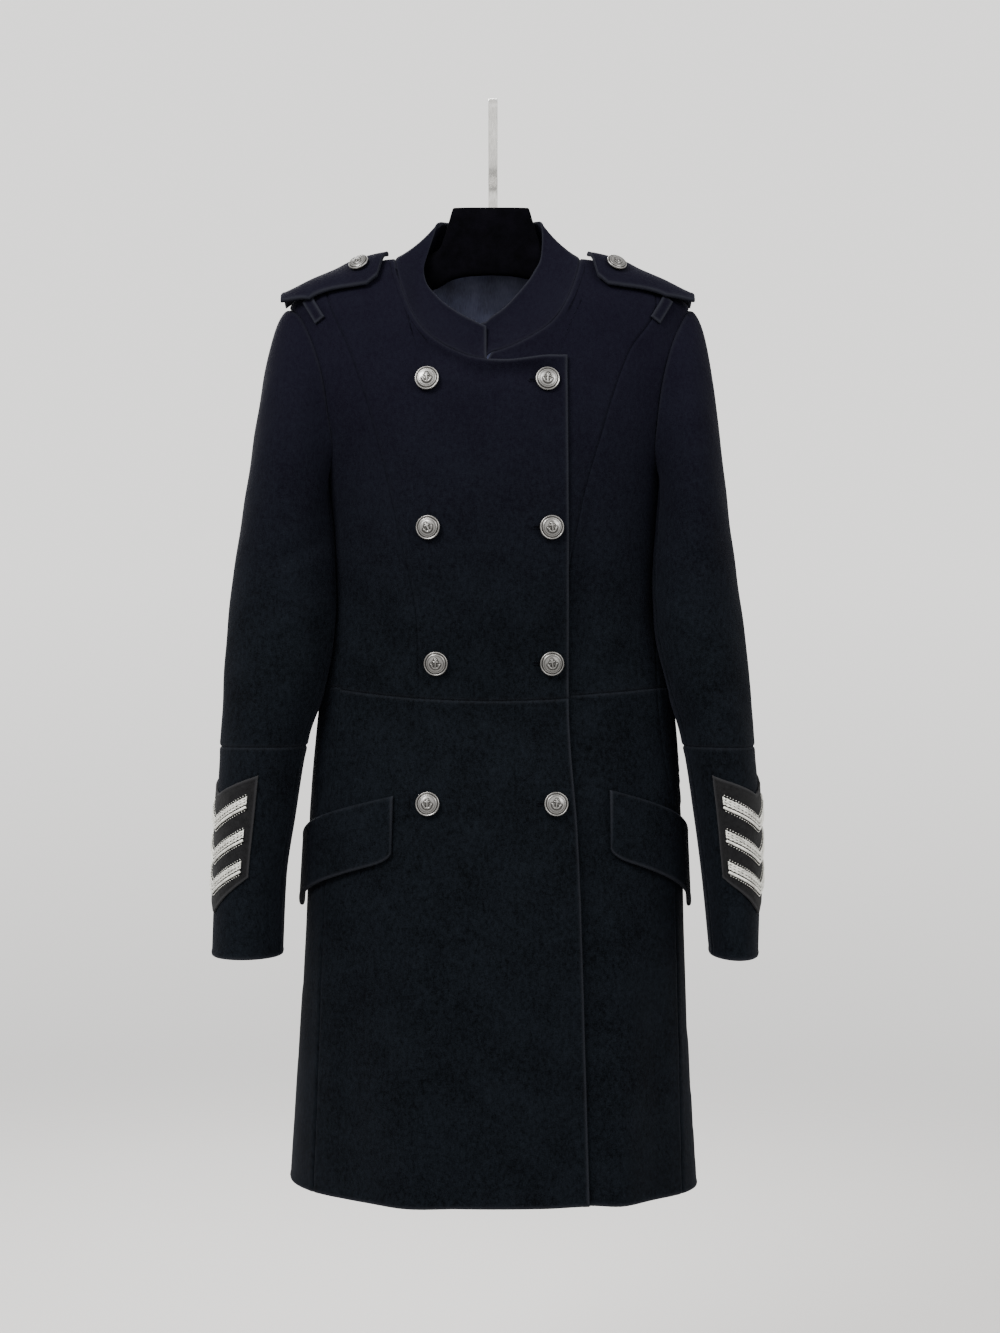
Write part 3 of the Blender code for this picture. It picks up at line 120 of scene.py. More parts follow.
class SmoothTable:
    """A table that is read smoothly between its rows, with no overshoot."""

    def __init__(self, rows: list[tuple[float, ...]]) -> None:
        """Prepares the table.

        Args:
            rows: A key and then the values of each row.
        """
        ordered = sorted(rows, key=lambda row: row[0])
        self.keys = np.array([row[0] for row in ordered], float)
        self.values = np.array([row[1:] for row in ordered], float)
        slope = np.diff(self.values, axis=0) / np.diff(self.keys)[:, None]
        self.tangents = np.empty_like(self.values)
        self.tangents[0] = slope[0]
        self.tangents[-1] = slope[-1]
        product = slope[:-1] * slope[1:]
        total = slope[:-1] + slope[1:]
        safe = np.where(np.abs(total) > 1e-12, total, 1.0)
        self.tangents[1:-1] = np.where(product > 0.0, 2.0 * product / safe, 0.0)

    def at(self, place: np.ndarray) -> np.ndarray:
        """Reads the table.

        Args:
            place: Keys, of any shape.

        Returns:
            The values, with one more axis for the table's columns.
        """
        place = np.clip(np.asarray(place, float), self.keys[0], self.keys[-1])
        low = np.clip(np.searchsorted(self.keys, place, side="right") - 1, 0, len(self.keys) - 2)
        step = (self.keys[low + 1] - self.keys[low])[..., None]
        s = ((place - self.keys[low])[..., None]) / step
        return (
            self.values[low] * (1.0 + 2.0 * s) * (1.0 - s) ** 2
            + self.tangents[low] * step * s * (1.0 - s) ** 2
            + self.values[low + 1] * s * s * (3.0 - 2.0 * s)
            + self.tangents[low + 1] * step * s * s * (s - 1.0)
        )


def smooth_rows(*rows: tuple[float, ...]) -> SmoothTable:
    """A dataclass field that holds a smooth table of these rows."""
    return field(default_factory=lambda: SmoothTable(list(rows)))


def depth_share(y: np.ndarray, middle: np.ndarray, front: np.ndarray, back: np.ndarray) -> np.ndarray:
    """How far y lies from the middle towards the front or the back, 1 at either of them."""
    return np.where(y < middle, (middle - y) / (middle - front), (y - middle) / (back - middle))


@dataclass(frozen=True)
class Crease:
    """A soft ridge or trough along a line on the cloth."""

    start: tuple[float, float]
    end: tuple[float, float]
    half_width: float
    rise: float

    def at(self, x: np.ndarray, z: np.ndarray) -> np.ndarray:
        """How far the crease moves the cloth out.

        Args:
            x: Across the cloth, or an angle on a sleeve.
            z: Height.

        Returns:
            The rise, which fades at both ends of the line.
        """
        along_x = self.end[0] - self.start[0]
        along_z = self.end[1] - self.start[1]
        length = math.hypot(along_x, along_z)
        t = ((x - self.start[0]) * along_x + (z - self.start[1]) * along_z) / length**2
        off = ((x - self.start[0]) * along_z - (z - self.start[1]) * along_x) / length
        fade = smooth_step(t, -0.25, 0.3) * (1.0 - smooth_step(t, 0.7, 1.25))
        return self.rise * bell(off, self.half_width) * fade


@dataclass
class BodyForm:
    """The curved form that the coat's body lies on."""

    sections: SmoothTable = smooth_rows(
        # height, left, right, front, back, left_mid, right_mid, square
        (-140.0, -58.0, 48.0, -26.0, 36.0, 4.0, 4.0, 2.0),
        (-153.0, -88.0, 78.0, -32.0, 41.0, 3.0, 3.0, 2.1),
        (-156.0, -112.0, 102.0, -35.0, 43.0, 2.0, 2.0, 2.2),
        (-159.0, -130.0, 120.0, -37.0, 44.0, 2.0, 2.0, 2.3),
        (-170.0, -151.0, 141.0, -42.0, 46.0, 1.0, 1.0, 2.3),
        (-187.0, -184.0, 174.0, -49.0, 49.0, 0.0, 0.0, 2.3),
        (-203.0, -197.0, 190.0, -56.0, 51.0, 0.0, 0.0, 2.3),
        (-250.0, -196.0, 190.0, -66.0, 54.0, 0.0, 0.0, 2.3),
        (-300.0, -186.0, 182.0, -76.0, 55.0, 2.0, 2.0, 2.3),
        (-367.0, -166.0, 166.0, -83.0, 55.0, 5.0, 5.0, 2.3),
        (-420.0, -157.0, 160.0, -86.0, 54.0, 5.0, 5.0, 2.3),
        (-484.0, -155.0, 157.0, -81.0, 50.0, 3.0, 3.0, 2.3),
        (-580.0, -168.0, 175.0, -70.0, 46.0, 0.0, 0.0, 2.3),
        (-693.0, -178.0, 183.0, -79.0, 52.0, 4.0, 2.0, 2.3),
        (-799.0, -182.0, 185.0, -86.0, 55.0, 10.0, 2.0, 2.3),
        (-900.0, -189.0, 189.0, -92.0, 57.0, 22.0, 3.0, 2.2),
        (-1050.0, -200.0, 198.0, -99.0, 59.0, 42.0, 5.0, 2.1),
    )
    probe: float = 1.0
    main_folds: tuple[tuple[float, ...], ...] = (
        # x, start_height, full_height, half_width, rise
        (-82.0, -700.0, -1050.0, 34.0, 10.0),
        (122.0, -700.0, -1050.0, 24.0, 15.0),
        (93.0, -330.0, -430.0, 16.0, -3.0),
    )
    front_creases: tuple[Crease, ...] = (
        Crease((-66.0, -250.0), (-14.0, -272.0), 8.0, -3.4),
        Crease((-16.0, -275.0), (64.0, -272.0), 8.5, -4.6),
        Crease((-22.0, -263.0), (62.0, -259.5), 5.0, 2.2),
        Crease((86.0, -330.0), (92.0, -560.0), 10.0, -1.6),
        Crease((97.0, -620.0), (104.0, -980.0), 13.0, -3.0),
        Crease((-104.0, -300.0), (-60.0, -360.0), 22.0, 1.6),
        Crease((96.0, -300.0), (118.0, -390.0), 16.0, 1.4),
        Crease((-128.0, -480.0), (-70.0, -560.0), 9.0, -1.4),
        Crease((-132.0, -530.0), (-84.0, -572.0), 7.0, 1.2),
        Crease((132.0, -488.0), (92.0, -556.0), 8.0, 1.3),
        Crease((124.0, -540.0), (90.0, -572.0), 6.0, -1.1),
        Crease((-20.0, -430.0), (22.0, -560.0), 20.0, -1.0),
        Crease((10.0, -600.0), (-20.0, -700.0), 16.0, -1.1),
        Crease((-128.0, -600.0), (-104.0, -690.0), 12.0, 1.4),
        Crease((-20.0, -760.0), (-34.0, -1040.0), 22.0, -2.2),
        Crease((28.0, -820.0), (40.0, -1045.0), 20.0, 1.8),
        Crease((-130.0, -830.0), (-140.0, -1040.0), 16.0, -2.4),
        Crease((152.0, -840.0), (158.0, -1040.0), 12.0, -2.0),
        Crease((66.0, -900.0), (72.0, -1045.0), 11.0, -1.6),
    )
    back_creases: tuple[Crease, ...] = (
        Crease((-110.0, -230.0), (-70.0, -330.0), 24.0, 1.8),
        Crease((104.0, -236.0), (74.0, -340.0), 26.0, 1.6),
        Crease((-40.0, -170.0), (-86.0, -190.0), 10.0, -1.2),
        Crease((30.0, -172.0), (82.0, -196.0), 10.0, -1.0),
        Crease((-118.0, -500.0), (-40.0, -548.0), 9.0, -1.6),
        Crease((-100.0, -530.0), (-24.0, -560.0), 7.0, 1.5),
        Crease((112.0, -496.0), (52.0, -552.0), 9.0, -1.4),
        Crease((88.0, -534.0), (20.0, -562.0), 7.0, 1.3),
        Crease((-62.0, -640.0), (-80.0, -1040.0), 20.0, 3.0),
        Crease((-104.0, -760.0), (-124.0, -1040.0), 15.0, -2.6),
        Crease((-16.0, -700.0), (-26.0, -1040.0), 18.0, -2.4),
        Crease((50.0, -660.0), (64.0, -1040.0), 20.0, 2.8),
        Crease((104.0, -740.0), (120.0, -1040.0), 16.0, -2.4),
        Crease((20.0, -800.0), (24.0, -1040.0), 14.0, -1.2),
    )

    def section(self, z: np.ndarray) -> tuple[np.ndarray, ...]:
        """The level section at a height: left, right, front, back, left_mid, right_mid, square."""
        return tuple(np.moveaxis(self.sections.at(z), -1, 0))

    def smooth_point(self, turn: np.ndarray, z: np.ndarray) -> np.ndarray:
        """A point of the form with its main folds and no creases.

        Args:
            turn: Angle round the body in degrees.
            z: Height.

        Returns:
            The points, in millimetres.
        """
        left, right, front, back, left_mid, right_mid, square = self.section(z)
        s = np.sin(np.radians(turn))
        c = np.cos(np.radians(turn))
        size = (np.abs(s) ** square + np.abs(c) ** square) ** (1.0 / square)
        across = s / size
        along = np.abs(c) / size
        x = (left + right) / 2.0 + across * (right - left) / 2.0
        middle = np.where(across < 0.0, left_mid, right_mid)
        end = np.where(c > 0.0, front, back)
        y = end + (middle - end) * (1.0 - along)
        rise = np.zeros_like(x)
        for fold_x, start, full, half_width, fold in self.main_folds:
            rise += fold * bell(x - fold_x, half_width) * smooth_step(-z, -start, -full)
        y = y - np.where(c > 0.0, rise * along, 0.0)
        return np.stack([x, y, z + 0.0 * x], axis=-1)

    def normal(self, turn: np.ndarray, z: np.ndarray) -> np.ndarray:
        """The way out of the form at a place given by turn and height.

        Args:
            turn: Angle round the body in degrees.
            z: Height.

        Returns:
            Unit vectors.
        """
        step = self.probe
        around = self.smooth_point(turn + step, z) - self.smooth_point(turn - step, z)
        up = self.smooth_point(turn, z + step) - self.smooth_point(turn, z - step)
        return unit(np.cross(around, up))

    def crease(self, x: np.ndarray, z: np.ndarray, turn: np.ndarray) -> np.ndarray:
        """How far the creases and the cloth's own unevenness move it out.

        Args:
            x: Across the body.
            z: Height.
            turn: Angle round the body, which tells the front from the back.

        Returns:
            The rise in millimetres, none at the sides, shoulders and armholes.
        """
        facing = np.cos(np.radians(turn))
        rise = np.zeros_like(x)
        for creases, share in (
            (self.front_creases, smooth_step(facing, 0.0, 0.35)),
            (self.back_creases, smooth_step(-facing, 0.0, 0.35)),
        ):
            for crease in creases:
                rise += crease.at(x, z) * share
        wave = 0.30 * np.sin(x / 13.0 + z / 31.0 + 0.7) * np.sin(z / 23.0 - x / 41.0)
        wave += 0.22 * np.sin(x / 7.3 - z / 17.0 + 2.1) * np.sin(z / 11.0 + x / 29.0 + 0.4)
        calm = smooth_step(-z, 170.0, 240.0) * smooth_step(np.abs(facing), 0.05, 0.4)
        return rise + wave * calm

    def turn_of(self, x: np.ndarray, z: np.ndarray, half: Half) -> np.ndarray:
        """The turn of a place given by x, which runs on past the side as if unrolled.

        Args:
            x: Across the body.
            z: Height.
            half: The half that x is measured on.

        Returns:
            The turn in degrees.
        """
        left, right, *_rest, square = self.section(z)
        over = (x < left) | (x > right)
        side_x = np.where(x < left, left, right)
        inside = np.where(over, 2.0 * side_x - x, x)
        across = np.clip((inside - (left + right) / 2.0) / ((right - left) / 2.0), -1.0, 1.0)
        along = np.maximum(0.0, 1.0 - np.abs(across) ** square) ** (1.0 / square)
        behind = over ^ (half is Half.BACK)
        return np.degrees(np.arctan2(across, np.where(behind, -along, along)))

    def unrolled(self, turn: np.ndarray, z: np.ndarray, half: Half) -> np.ndarray:
        """A place given by turn as x and height, unrolled past the side's x.

        Args:
            turn: Angle round the body.
            z: Height.
            half: The half to measure x on.

        Returns:
            x and height in the last axis.
        """
        left, right = self.section(z)[:2]
        x = self.smooth_point(turn, z)[..., 0]
        other = (np.cos(np.radians(turn)) >= 0.0) != (half is Half.FRONT)
        side_x = np.where(x < (left + right) / 2.0, left, right)
        return np.stack([np.where(other, 2.0 * side_x - x, x), z + 0.0 * x], axis=-1)


def no_lift(points: np.ndarray) -> np.ndarray:
    """Lies on the body's form itself."""
    return np.zeros(points.shape[:-1])


@dataclass(frozen=True)
class Overlap:
    """How far the right front lies above the left front."""

    rise: float = 3.9
    start_x: float = -125.0
    end_x: float = -68.0
    start_height: float = -180.0
    full_height: float = -235.0

    def __call__(self, points: np.ndarray) -> np.ndarray:
        """The lift at points of the form.

        Args:
            points: Points in millimetres.

        Returns:
            The lift at each point.
        """
        across = smooth_step(points[..., 0], self.start_x, self.end_x)
        down = smooth_step(-points[..., 2], -self.start_height, -self.full_height)
        return self.rise * across * down


@dataclass(frozen=True)
class EdgeStyle:
    """How the four edges of a panel are finished: 0 is a seam and 1 a free, turned edge."""

    left: float = 0.0
    right: float = 0.0
    top: float | np.ndarray = 0.0
    bottom: float = 0.0


@dataclass(frozen=True)
class Wall:
    """Makes a closed wall of cloth from a grid of points and their ways out."""

    thickness: float | np.ndarray = 2.5
    seam_depth: float = 1.25
    seam_half_width: float = 1.15
    puff: float = 0.30
    puff_distance: float = 4.5
    puff_half_width: float = 2.6
    roll: float = 0.55
    roll_distance: float = 3.2
    roll_half_width: float = 1.7
    edge_share: float = 0.8
    stitch_depth: float = 0.0
    stitch_distance: float = 6.0
    stitch_half_width: float = 0.8
    # Shares of the lighter line at seams, which stands for wear and for a painted highlight on the seam's
    # ridge.
    side_seam_wear_and_highlight: float = 0.03
    cross_seam_wear_and_highlight: float = 0.30

    def layers(
        self, points: np.ndarray, ways: np.ndarray, style: EdgeStyle
    ) -> tuple[np.ndarray, np.ndarray, np.ndarray, np.ndarray]:
        """The outer and inner faces of the wall, shaped near its edges.

        Args:
            points: Grid of points of the outer face before shaping.
            ways: The way out at each point.
            style: How each edge is finished.

        Returns:
            Outer points, inner points, the share of the lighter edge line for wear and painted highlight,
            and the distance to a free edge.
        """
        across = np.linalg.norm(np.diff(points, axis=1), axis=2)
        down = np.linalg.norm(np.diff(points, axis=0), axis=2)
        from_left = np.concatenate([np.zeros((len(points), 1)), np.cumsum(across, axis=1)], axis=1)
        from_top = np.concatenate([np.zeros((1, points.shape[1])), np.cumsum(down, axis=0)], axis=0)
        from_right = from_left[:, -1:] - from_left
        from_bottom = from_top[-1:] - from_top
        rise = np.zeros(points.shape[:2])
        rounding = np.zeros(points.shape[:2])
        wear_and_highlight = np.zeros(points.shape[:2])
        free_distance = np.full(points.shape[:2], 1e3)
        half = self.thickness / 2.0
        for distance, free, seam_wear_and_highlight in (
            (from_left, style.left, self.side_seam_wear_and_highlight),
            (from_right, style.right, self.side_seam_wear_and_highlight),
            (from_top, style.top, self.cross_seam_wear_and_highlight),
            (from_bottom, style.bottom, self.cross_seam_wear_and_highlight),
        ):
            free = np.broadcast_to(np.asarray(free, float), distance.shape)
            seam = -self.seam_depth * bell(distance, self.seam_half_width)
            seam += self.puff * bell(distance - self.puff_distance, self.puff_half_width)
            roll = self.roll * bell(distance - self.roll_distance, self.roll_half_width)
            roll -= self.stitch_depth * bell(distance - self.stitch_distance, self.stitch_half_width)
            rise += (1.0 - free) * seam + free * roll
            near = np.clip(1.0 - distance / half, 0.0, 1.0)
            edge = half * self.edge_share * (1.0 - np.sqrt(1.0 - near**2)) * free
            rounding = np.maximum(rounding, edge)
            # Free edges and seams get a lighter line of wear and painted highlight along them.
            edge_wear_and_highlight = seam_wear_and_highlight + (1.0 - seam_wear_and_highlight) * free
            wear_and_highlight = np.maximum(wear_and_highlight, edge_wear_and_highlight * bell(distance - 1.0, 1.5))
            free_distance = np.where(free > 0.5, np.minimum(free_distance, distance), free_distance)
        outer = points + ways * (rise - rounding)[..., None]
        inner = points + ways * (rounding - self.thickness)[..., None]
        return outer, inner, wear_and_highlight, free_distance


class Workshop:
    """Makes the pieces, dresses them and logs their faces and cut sizes."""

    def __init__(self) -> None:
        """Starts with no finishes made."""
        self.finishes: dict[Slot, bpy.types.Material] = {}

    @staticmethod
    def dressed(name: str) -> str:
        """The name of the dressed piece that stands for a solid."""
        return f"{name}_dressed"

    def mesh_piece(
        self,
        name: str,
        points: np.ndarray,
        faces: list[tuple[int, ...]],
        slots: list[Slot],
        nodes: list[str],
        face_slots: np.ndarray | None = None,
        attributes: dict[str, np.ndarray] | None = None,
    ) -> bpy.types.Object:
        """Makes one named mesh object that rides on the coat.

        Args:
            name: The object's name.
            points: Its vertices in millimetres.
            faces: Its faces.
            slots: The finishes it has, the first its main one.
            nodes: The solids that it stands for.
            face_slots: Index into slots for each face.
            attributes: Named values for each vertex.

        Returns:
            The object.
        """
        mesh = bpy.data.meshes.new(name)
        mesh.from_pydata((np.asarray(points) * MM).tolist(), [], faces)
        for slot in slots:
            mesh.materials.append(self.finishes[slot])
        if face_slots is not None:
            mesh.polygons.foreach_set("material_index", np.asarray(face_slots, np.int32))
        for label, values in (attributes or {}).items():
            layer = mesh.attributes.new(label, "FLOAT", "POINT")
            layer.data.foreach_set("value", np.asarray(values, np.float32).ravel())
        mesh.shade_smooth()
        piece = bpy.data.objects.new(self.dressed(name), mesh)
        bpy.context.scene.collection.objects.link(piece)
        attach(piece, "root")
        if nodes:
            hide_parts(*nodes)
        LOG.info("%s: %d faces", name, len(faces))
        return piece

    def closed_wall(
        self,
        name: str,
        outer: np.ndarray,
        inner: np.ndarray,
        slots: list[Slot],
        nodes: list[str],
        wear_and_highlight: np.ndarray | None = None,
        lined: np.ndarray | None = None,
    ) -> bpy.types.Object:
        """Joins an outer and an inner grid round their rim into one closed piece.

        Args:
            name: The object's name.
            outer: Grid of outer points.
            inner: Grid of inner points.
            slots: Finishes, the second one for lined inner faces.
            nodes: The solids that it stands for.
            wear_and_highlight: Share of the lighter edge line, for wear and painted highlight, at each grid
                point.
            lined: True at each grid point whose inner face is lined.

        Returns:
            The object.
        """
        rows, columns = outer.shape[:2]
        count = rows * columns
        index = np.arange(count).reshape(rows, columns)
        a, b = index[:-1, :-1].ravel(), index[1:, :-1].ravel()
        c, d = index[1:, 1:].ravel(), index[:-1, 1:].ravel()
        faces = np.stack([a, b, c, d], 1)
        back = np.stack([a, d, c, b], 1) + count
        rim = np.concatenate(
            [index[0, :-1], index[:-1, -1], index[-1, :0:-1], index[:0:-1, 0]]
        )
        after = np.roll(rim, -1)
        rim_faces = np.stack([rim, after, after + count, rim + count], 1)
        points = np.concatenate([outer.reshape(-1, 3), inner.reshape(-1, 3)])
        everything = np.concatenate([faces, back, rim_faces])
        p = points[everything]
        volume = np.einsum("ij,ij->i", p[:, 0], np.cross(p[:, 1], p[:, 2])).sum()
        volume += np.einsum("ij,ij->i", p[:, 0], np.cross(p[:, 2], p[:, 3])).sum()
        if volume < 0.0:
            everything = everything[:, ::-1]
        face_slots = np.zeros(len(everything), int)
        if lined is not None:
            face_slots[len(faces):len(faces) + len(back)] = lined[:-1, :-1].ravel().astype(int)
        # The lighter edge line of wear and painted highlight goes on every vertex of both faces.
        share = np.zeros(2 * count)
        if wear_and_highlight is not None:
            share = np.concatenate([wear_and_highlight.ravel(), wear_and_highlight.ravel()])
        return self.mesh_piece(
            name, points, everything.tolist(), slots, nodes, face_slots, {"wear_and_highlight": share}
        )

    def cloth(
        self,
        name: str,
        points: np.ndarray,
        ways: np.ndarray,
        wall: Wall,
        style: EdgeStyle,
        nodes: list[str],
        held: str,
        rests_on: list[str],
        slots: list[Slot],
        facing: float = 1e3,
    ) -> bpy.types.Object:
        """A cut piece of cloth: a wall inward of its points, with its flat size logged.

        Args:
            name: The object's name.
            points: Grid of points of its outer face.
            ways: The way out at each point.
            wall: The wall's thickness and edge form.
            style: How each edge is finished.
            nodes: The solids that it stands for.
            held: How the cloth is held; not used.
            rests_on: What it hangs from or lies on; not used.
            slots: Finishes, the second one for the lined inner face.
            facing: How far in from a free edge the inner face is still the outer cloth.

        Returns:
            The object.
        """
        outer, inner, wear_and_highlight, free_distance = wall.layers(points, ways, style)
        lined = free_distance > facing if len(slots) > 1 else None
        piece = self.closed_wall(name, outer, inner, slots, nodes, wear_and_highlight, lined)
        self.declare_sheet(piece, (outer + inner) / 2.0)
        return piece

    def declare_sheet(
        self, piece: bpy.types.Object, points: np.ndarray
    ) -> None:
        """Logs the cut size and area that a piece's grid unrolls to.

        Args:
            piece: The cloth.
            points: Grid of points on its middle face, in millimetres.
        """
        across = np.linalg.norm(np.diff(points, axis=1), axis=2).sum(axis=1).max() * MM
        down = np.linalg.norm(np.diff(points, axis=0), axis=2).sum(axis=0).max() * MM
        one = np.cross(points[1:, :-1] - points[:-1, :-1], points[:-1, 1:] - points[:-1, :-1])
        two = np.cross(points[:-1, 1:] - points[1:, 1:], points[1:, :-1] - points[1:, 1:])
        area = (np.linalg.norm(one, axis=2).sum() + np.linalg.norm(two, axis=2).sum()) / 2.0
        area = min(area * MM * MM, across * down)
        LOG.info("%s: cut %.0f x %.0f mm, %.4f m2", piece.name, across / MM, down / MM, area)


def shares_along(length: float, spacing: float, shaped_edges: bool = True) -> np.ndarray:
    """Steps from 0 to 1 that are close together near both ends.

    Args:
        length: The line's length in millimetres.
        spacing: Distance between steps away from the ends.
        shaped_edges: Whether the ends get close steps for a groove or a turned edge.

    Returns:
        The steps.
    """
    near = np.array([0.0, 0.4, 0.9, 1.6, 2.6, 4.0, 6.0]) if shaped_edges else np.array([0.0])
    near = near[near < length / 2.5]
    middle = length - 2.0 * near[-1]
    count = max(2, round(middle / spacing) + 1)
    inside = np.linspace(near[-1], length - near[-1], count)[1:-1]
    return np.concatenate([near, inside, (length - near)[::-1]]) / length


def drawn_in(grid: np.ndarray, amount: float = -0.12) -> np.ndarray:
    """The grid with its outermost lines moved in, or out where the amount is below 0.

    Moved out a little, neighbouring pieces meet at the bottom of the groove between them.

    Args:
        grid: Grid of places.
        amount: How far to move them, in the grid's own unit.

    Returns:
        A moved copy.
    """
    moved = grid.copy()
    for edge, following in ((np.s_[0], np.s_[1]), (np.s_[-1], np.s_[-2])):
        way = grid[following] - grid[edge]
        moved[edge] = grid[edge] + unit(way) * amount
    side = moved.copy()
    for edge, following in ((0, 1), (-1, -2)):
        way = moved[:, following] - moved[:, edge]
        side[:, edge] = moved[:, edge] + unit(way) * amount
    return side


def set_stops(ramp: bpy.types.ColorRamp, stops: list[tuple[float, tuple[float, float, float]]]) -> None:
    """Gives a colour ramp its places and colours.

    Args:
        ramp: The ramp.
        stops: Places and colours in order.
    """
    while len(ramp.elements) < len(stops):
        ramp.elements.new(0.5)
    for element, (place, colour) in zip(ramp.elements, stops):
        element.position = place
        element.color = (*colour, 1.0)


class NodeSheet:
    """A material's node tree with short ways to add and join nodes."""

    def __init__(self, name: str) -> None:
        """Makes an empty Principled material.

        Args:
            name: The material's name.
        """
        self.material = bpy.data.materials.new(name)
        self.material.use_nodes = True
        self.tree = self.material.node_tree
        self.shader = self.tree.nodes["Principled BSDF"]
        self.place = self.add("ShaderNodeTexCoord").outputs["Object"]

    def add(self, kind: str, **values: object) -> bpy.types.Node:
        """Adds a node and sets its properties.

        Args:
            kind: The node's type.
            values: Its properties by name.

        Returns:
            The node.
        """
        node = self.tree.nodes.new(kind)
        for key, value in values.items():
            setattr(node, key, value)
        return node

    def join(self, source: bpy.types.NodeSocket, target: bpy.types.NodeSocket) -> None:
        """Links two sockets."""
        self.tree.links.new(source, target)

    def noise(
        self,
        scale: float,
        detail: float = 2.0,
        rough: float = 0.5,
        stretch: tuple[float, float, float] | None = None,
    ) -> bpy.types.NodeSocket:
        """Noise over the object's own space.

        Args:
            scale: Blobs for each metre, roughly.
            detail: Octaves.
            rough: How strong the finer octaves are.
            stretch: Scale on each axis.

        Returns:
            The noise value's socket.
        """
        node = self.add("ShaderNodeTexNoise")
        node.inputs["Scale"].default_value = scale
        node.inputs["Detail"].default_value = detail
        node.inputs["Roughness"].default_value = rough
        place = self.place
        if stretch:
            mapping = self.add("ShaderNodeMapping")
            mapping.inputs["Scale"].default_value = stretch
            self.join(place, mapping.inputs["Vector"])
            place = mapping.outputs["Vector"]
        self.join(place, node.inputs["Vector"])
        return node.outputs["Fac"]

    def ramp(
        self, value: bpy.types.NodeSocket, stops: list[tuple[float, tuple[float, float, float]]]
    ) -> bpy.types.NodeSocket:
        """Colours for a value.

        Args:
            value: The value's socket.
            stops: Places from 0 to 1 and their colours.

        Returns:
            The colour's socket.
        """
        node = self.add("ShaderNodeValToRGB")
        set_stops(node.color_ramp, stops)
        self.join(value, node.inputs["Fac"])
        return node.outputs["Color"]

    def mix(
        self,
        share: bpy.types.NodeSocket,
        first: bpy.types.NodeSocket,
        second: tuple[float, float, float],
    ) -> bpy.types.NodeSocket:
        """A colour changed towards a fixed one by a share.

        Args:
            share: The share's socket.
            first: The colour's socket.
            second: The fixed colour.

        Returns:
            The mixed colour's socket.
        """
        node = self.add("ShaderNodeMix", data_type="RGBA")
        self.join(share, node.inputs["Factor"])
        self.join(first, node.inputs["A"])
        node.inputs["B"].default_value = (*second, 1.0)
        return node.outputs["Result"]

    def math(
        self, kind: str, first: bpy.types.NodeSocket, second: bpy.types.NodeSocket | float
    ) -> bpy.types.NodeSocket:
        """Two values put together by an operation.

        Args:
            kind: The operation's name.
            first: The first value's socket.
            second: The second value or its socket.

        Returns:
            The result's socket.
        """
        node = self.add("ShaderNodeMath", operation=kind)
        self.join(first, node.inputs[0])
        if isinstance(second, float):
            node.inputs[1].default_value = second
        else:
            self.join(second, node.inputs[1])
        return node.outputs["Value"]

    def weighted(self, *parts: tuple[bpy.types.NodeSocket, float]) -> bpy.types.NodeSocket:
        """The sum of values, each times its weight.

        Args:
            parts: Pairs of a value's socket and its weight.

        Returns:
            The sum's socket.
        """
        total, *others = (self.math("MULTIPLY", value, weight) for value, weight in parts)
        for other in others:
            total = self.math("ADD", total, other)
        return total

    def eased(
        self, value: bpy.types.NodeSocket, span: tuple[float, float], result: tuple[float, float]
    ) -> bpy.types.NodeSocket:
        """A value changed softly from one level to another over a span.

        Args:
            value: The value's socket.
            span: Where the change begins and ends.
            result: The level before and after it.

        Returns:
            The result's socket.
        """
        node = self.add("ShaderNodeMapRange", interpolation_type="SMOOTHSTEP")
        levels = zip(("From Min", "From Max", "To Min", "To Max"), (*span, *result))
        for label, level in levels:
            node.inputs[label].default_value = level
        self.join(value, node.inputs["Value"])
        return node.outputs["Result"]

    def colour(self, socket: bpy.types.NodeSocket) -> None:
        """Gives the surface its colour."""
        self.join(socket, self.shader.inputs["Base Color"])

    def rough(self, value: bpy.types.NodeSocket, low: float, high: float) -> None:
        """Lets the roughness wander from low to high with a value."""
        stops = [(0.3, (low, low, low)), (0.7, (high, high, high))]
        self.join(self.ramp(value, stops), self.shader.inputs["Roughness"])

    def attribute(self, name: str) -> bpy.types.NodeSocket:
        """A value that the mesh holds at each vertex."""
        return self.add("ShaderNodeAttribute", attribute_name=name).outputs["Fac"]

    def bump(self, height: bpy.types.NodeSocket, strength: float, distance: float) -> None:
        """Adds a relief over what bump there is already.

        Args:
            height: The relief's height socket, from 0 to 1.
            strength: Its strength.
            distance: Its depth in metres.
        """
        node = self.add("ShaderNodeBump")
        node.inputs["Strength"].default_value = strength
        node.inputs["Distance"].default_value = distance
        self.join(height, node.inputs["Height"])
        known = self.shader.inputs["Normal"].links
        if known:
            self.join(known[0].from_socket, node.inputs["Normal"])
        self.join(node.outputs["Normal"], self.shader.inputs["Normal"])

    def set(self, **values: object) -> None:
        """Sets constant values on the shader's own sockets, by name with _ for a space."""
        for key, value in values.items():
            self.shader.inputs[key.replace("_", " ")].default_value = value


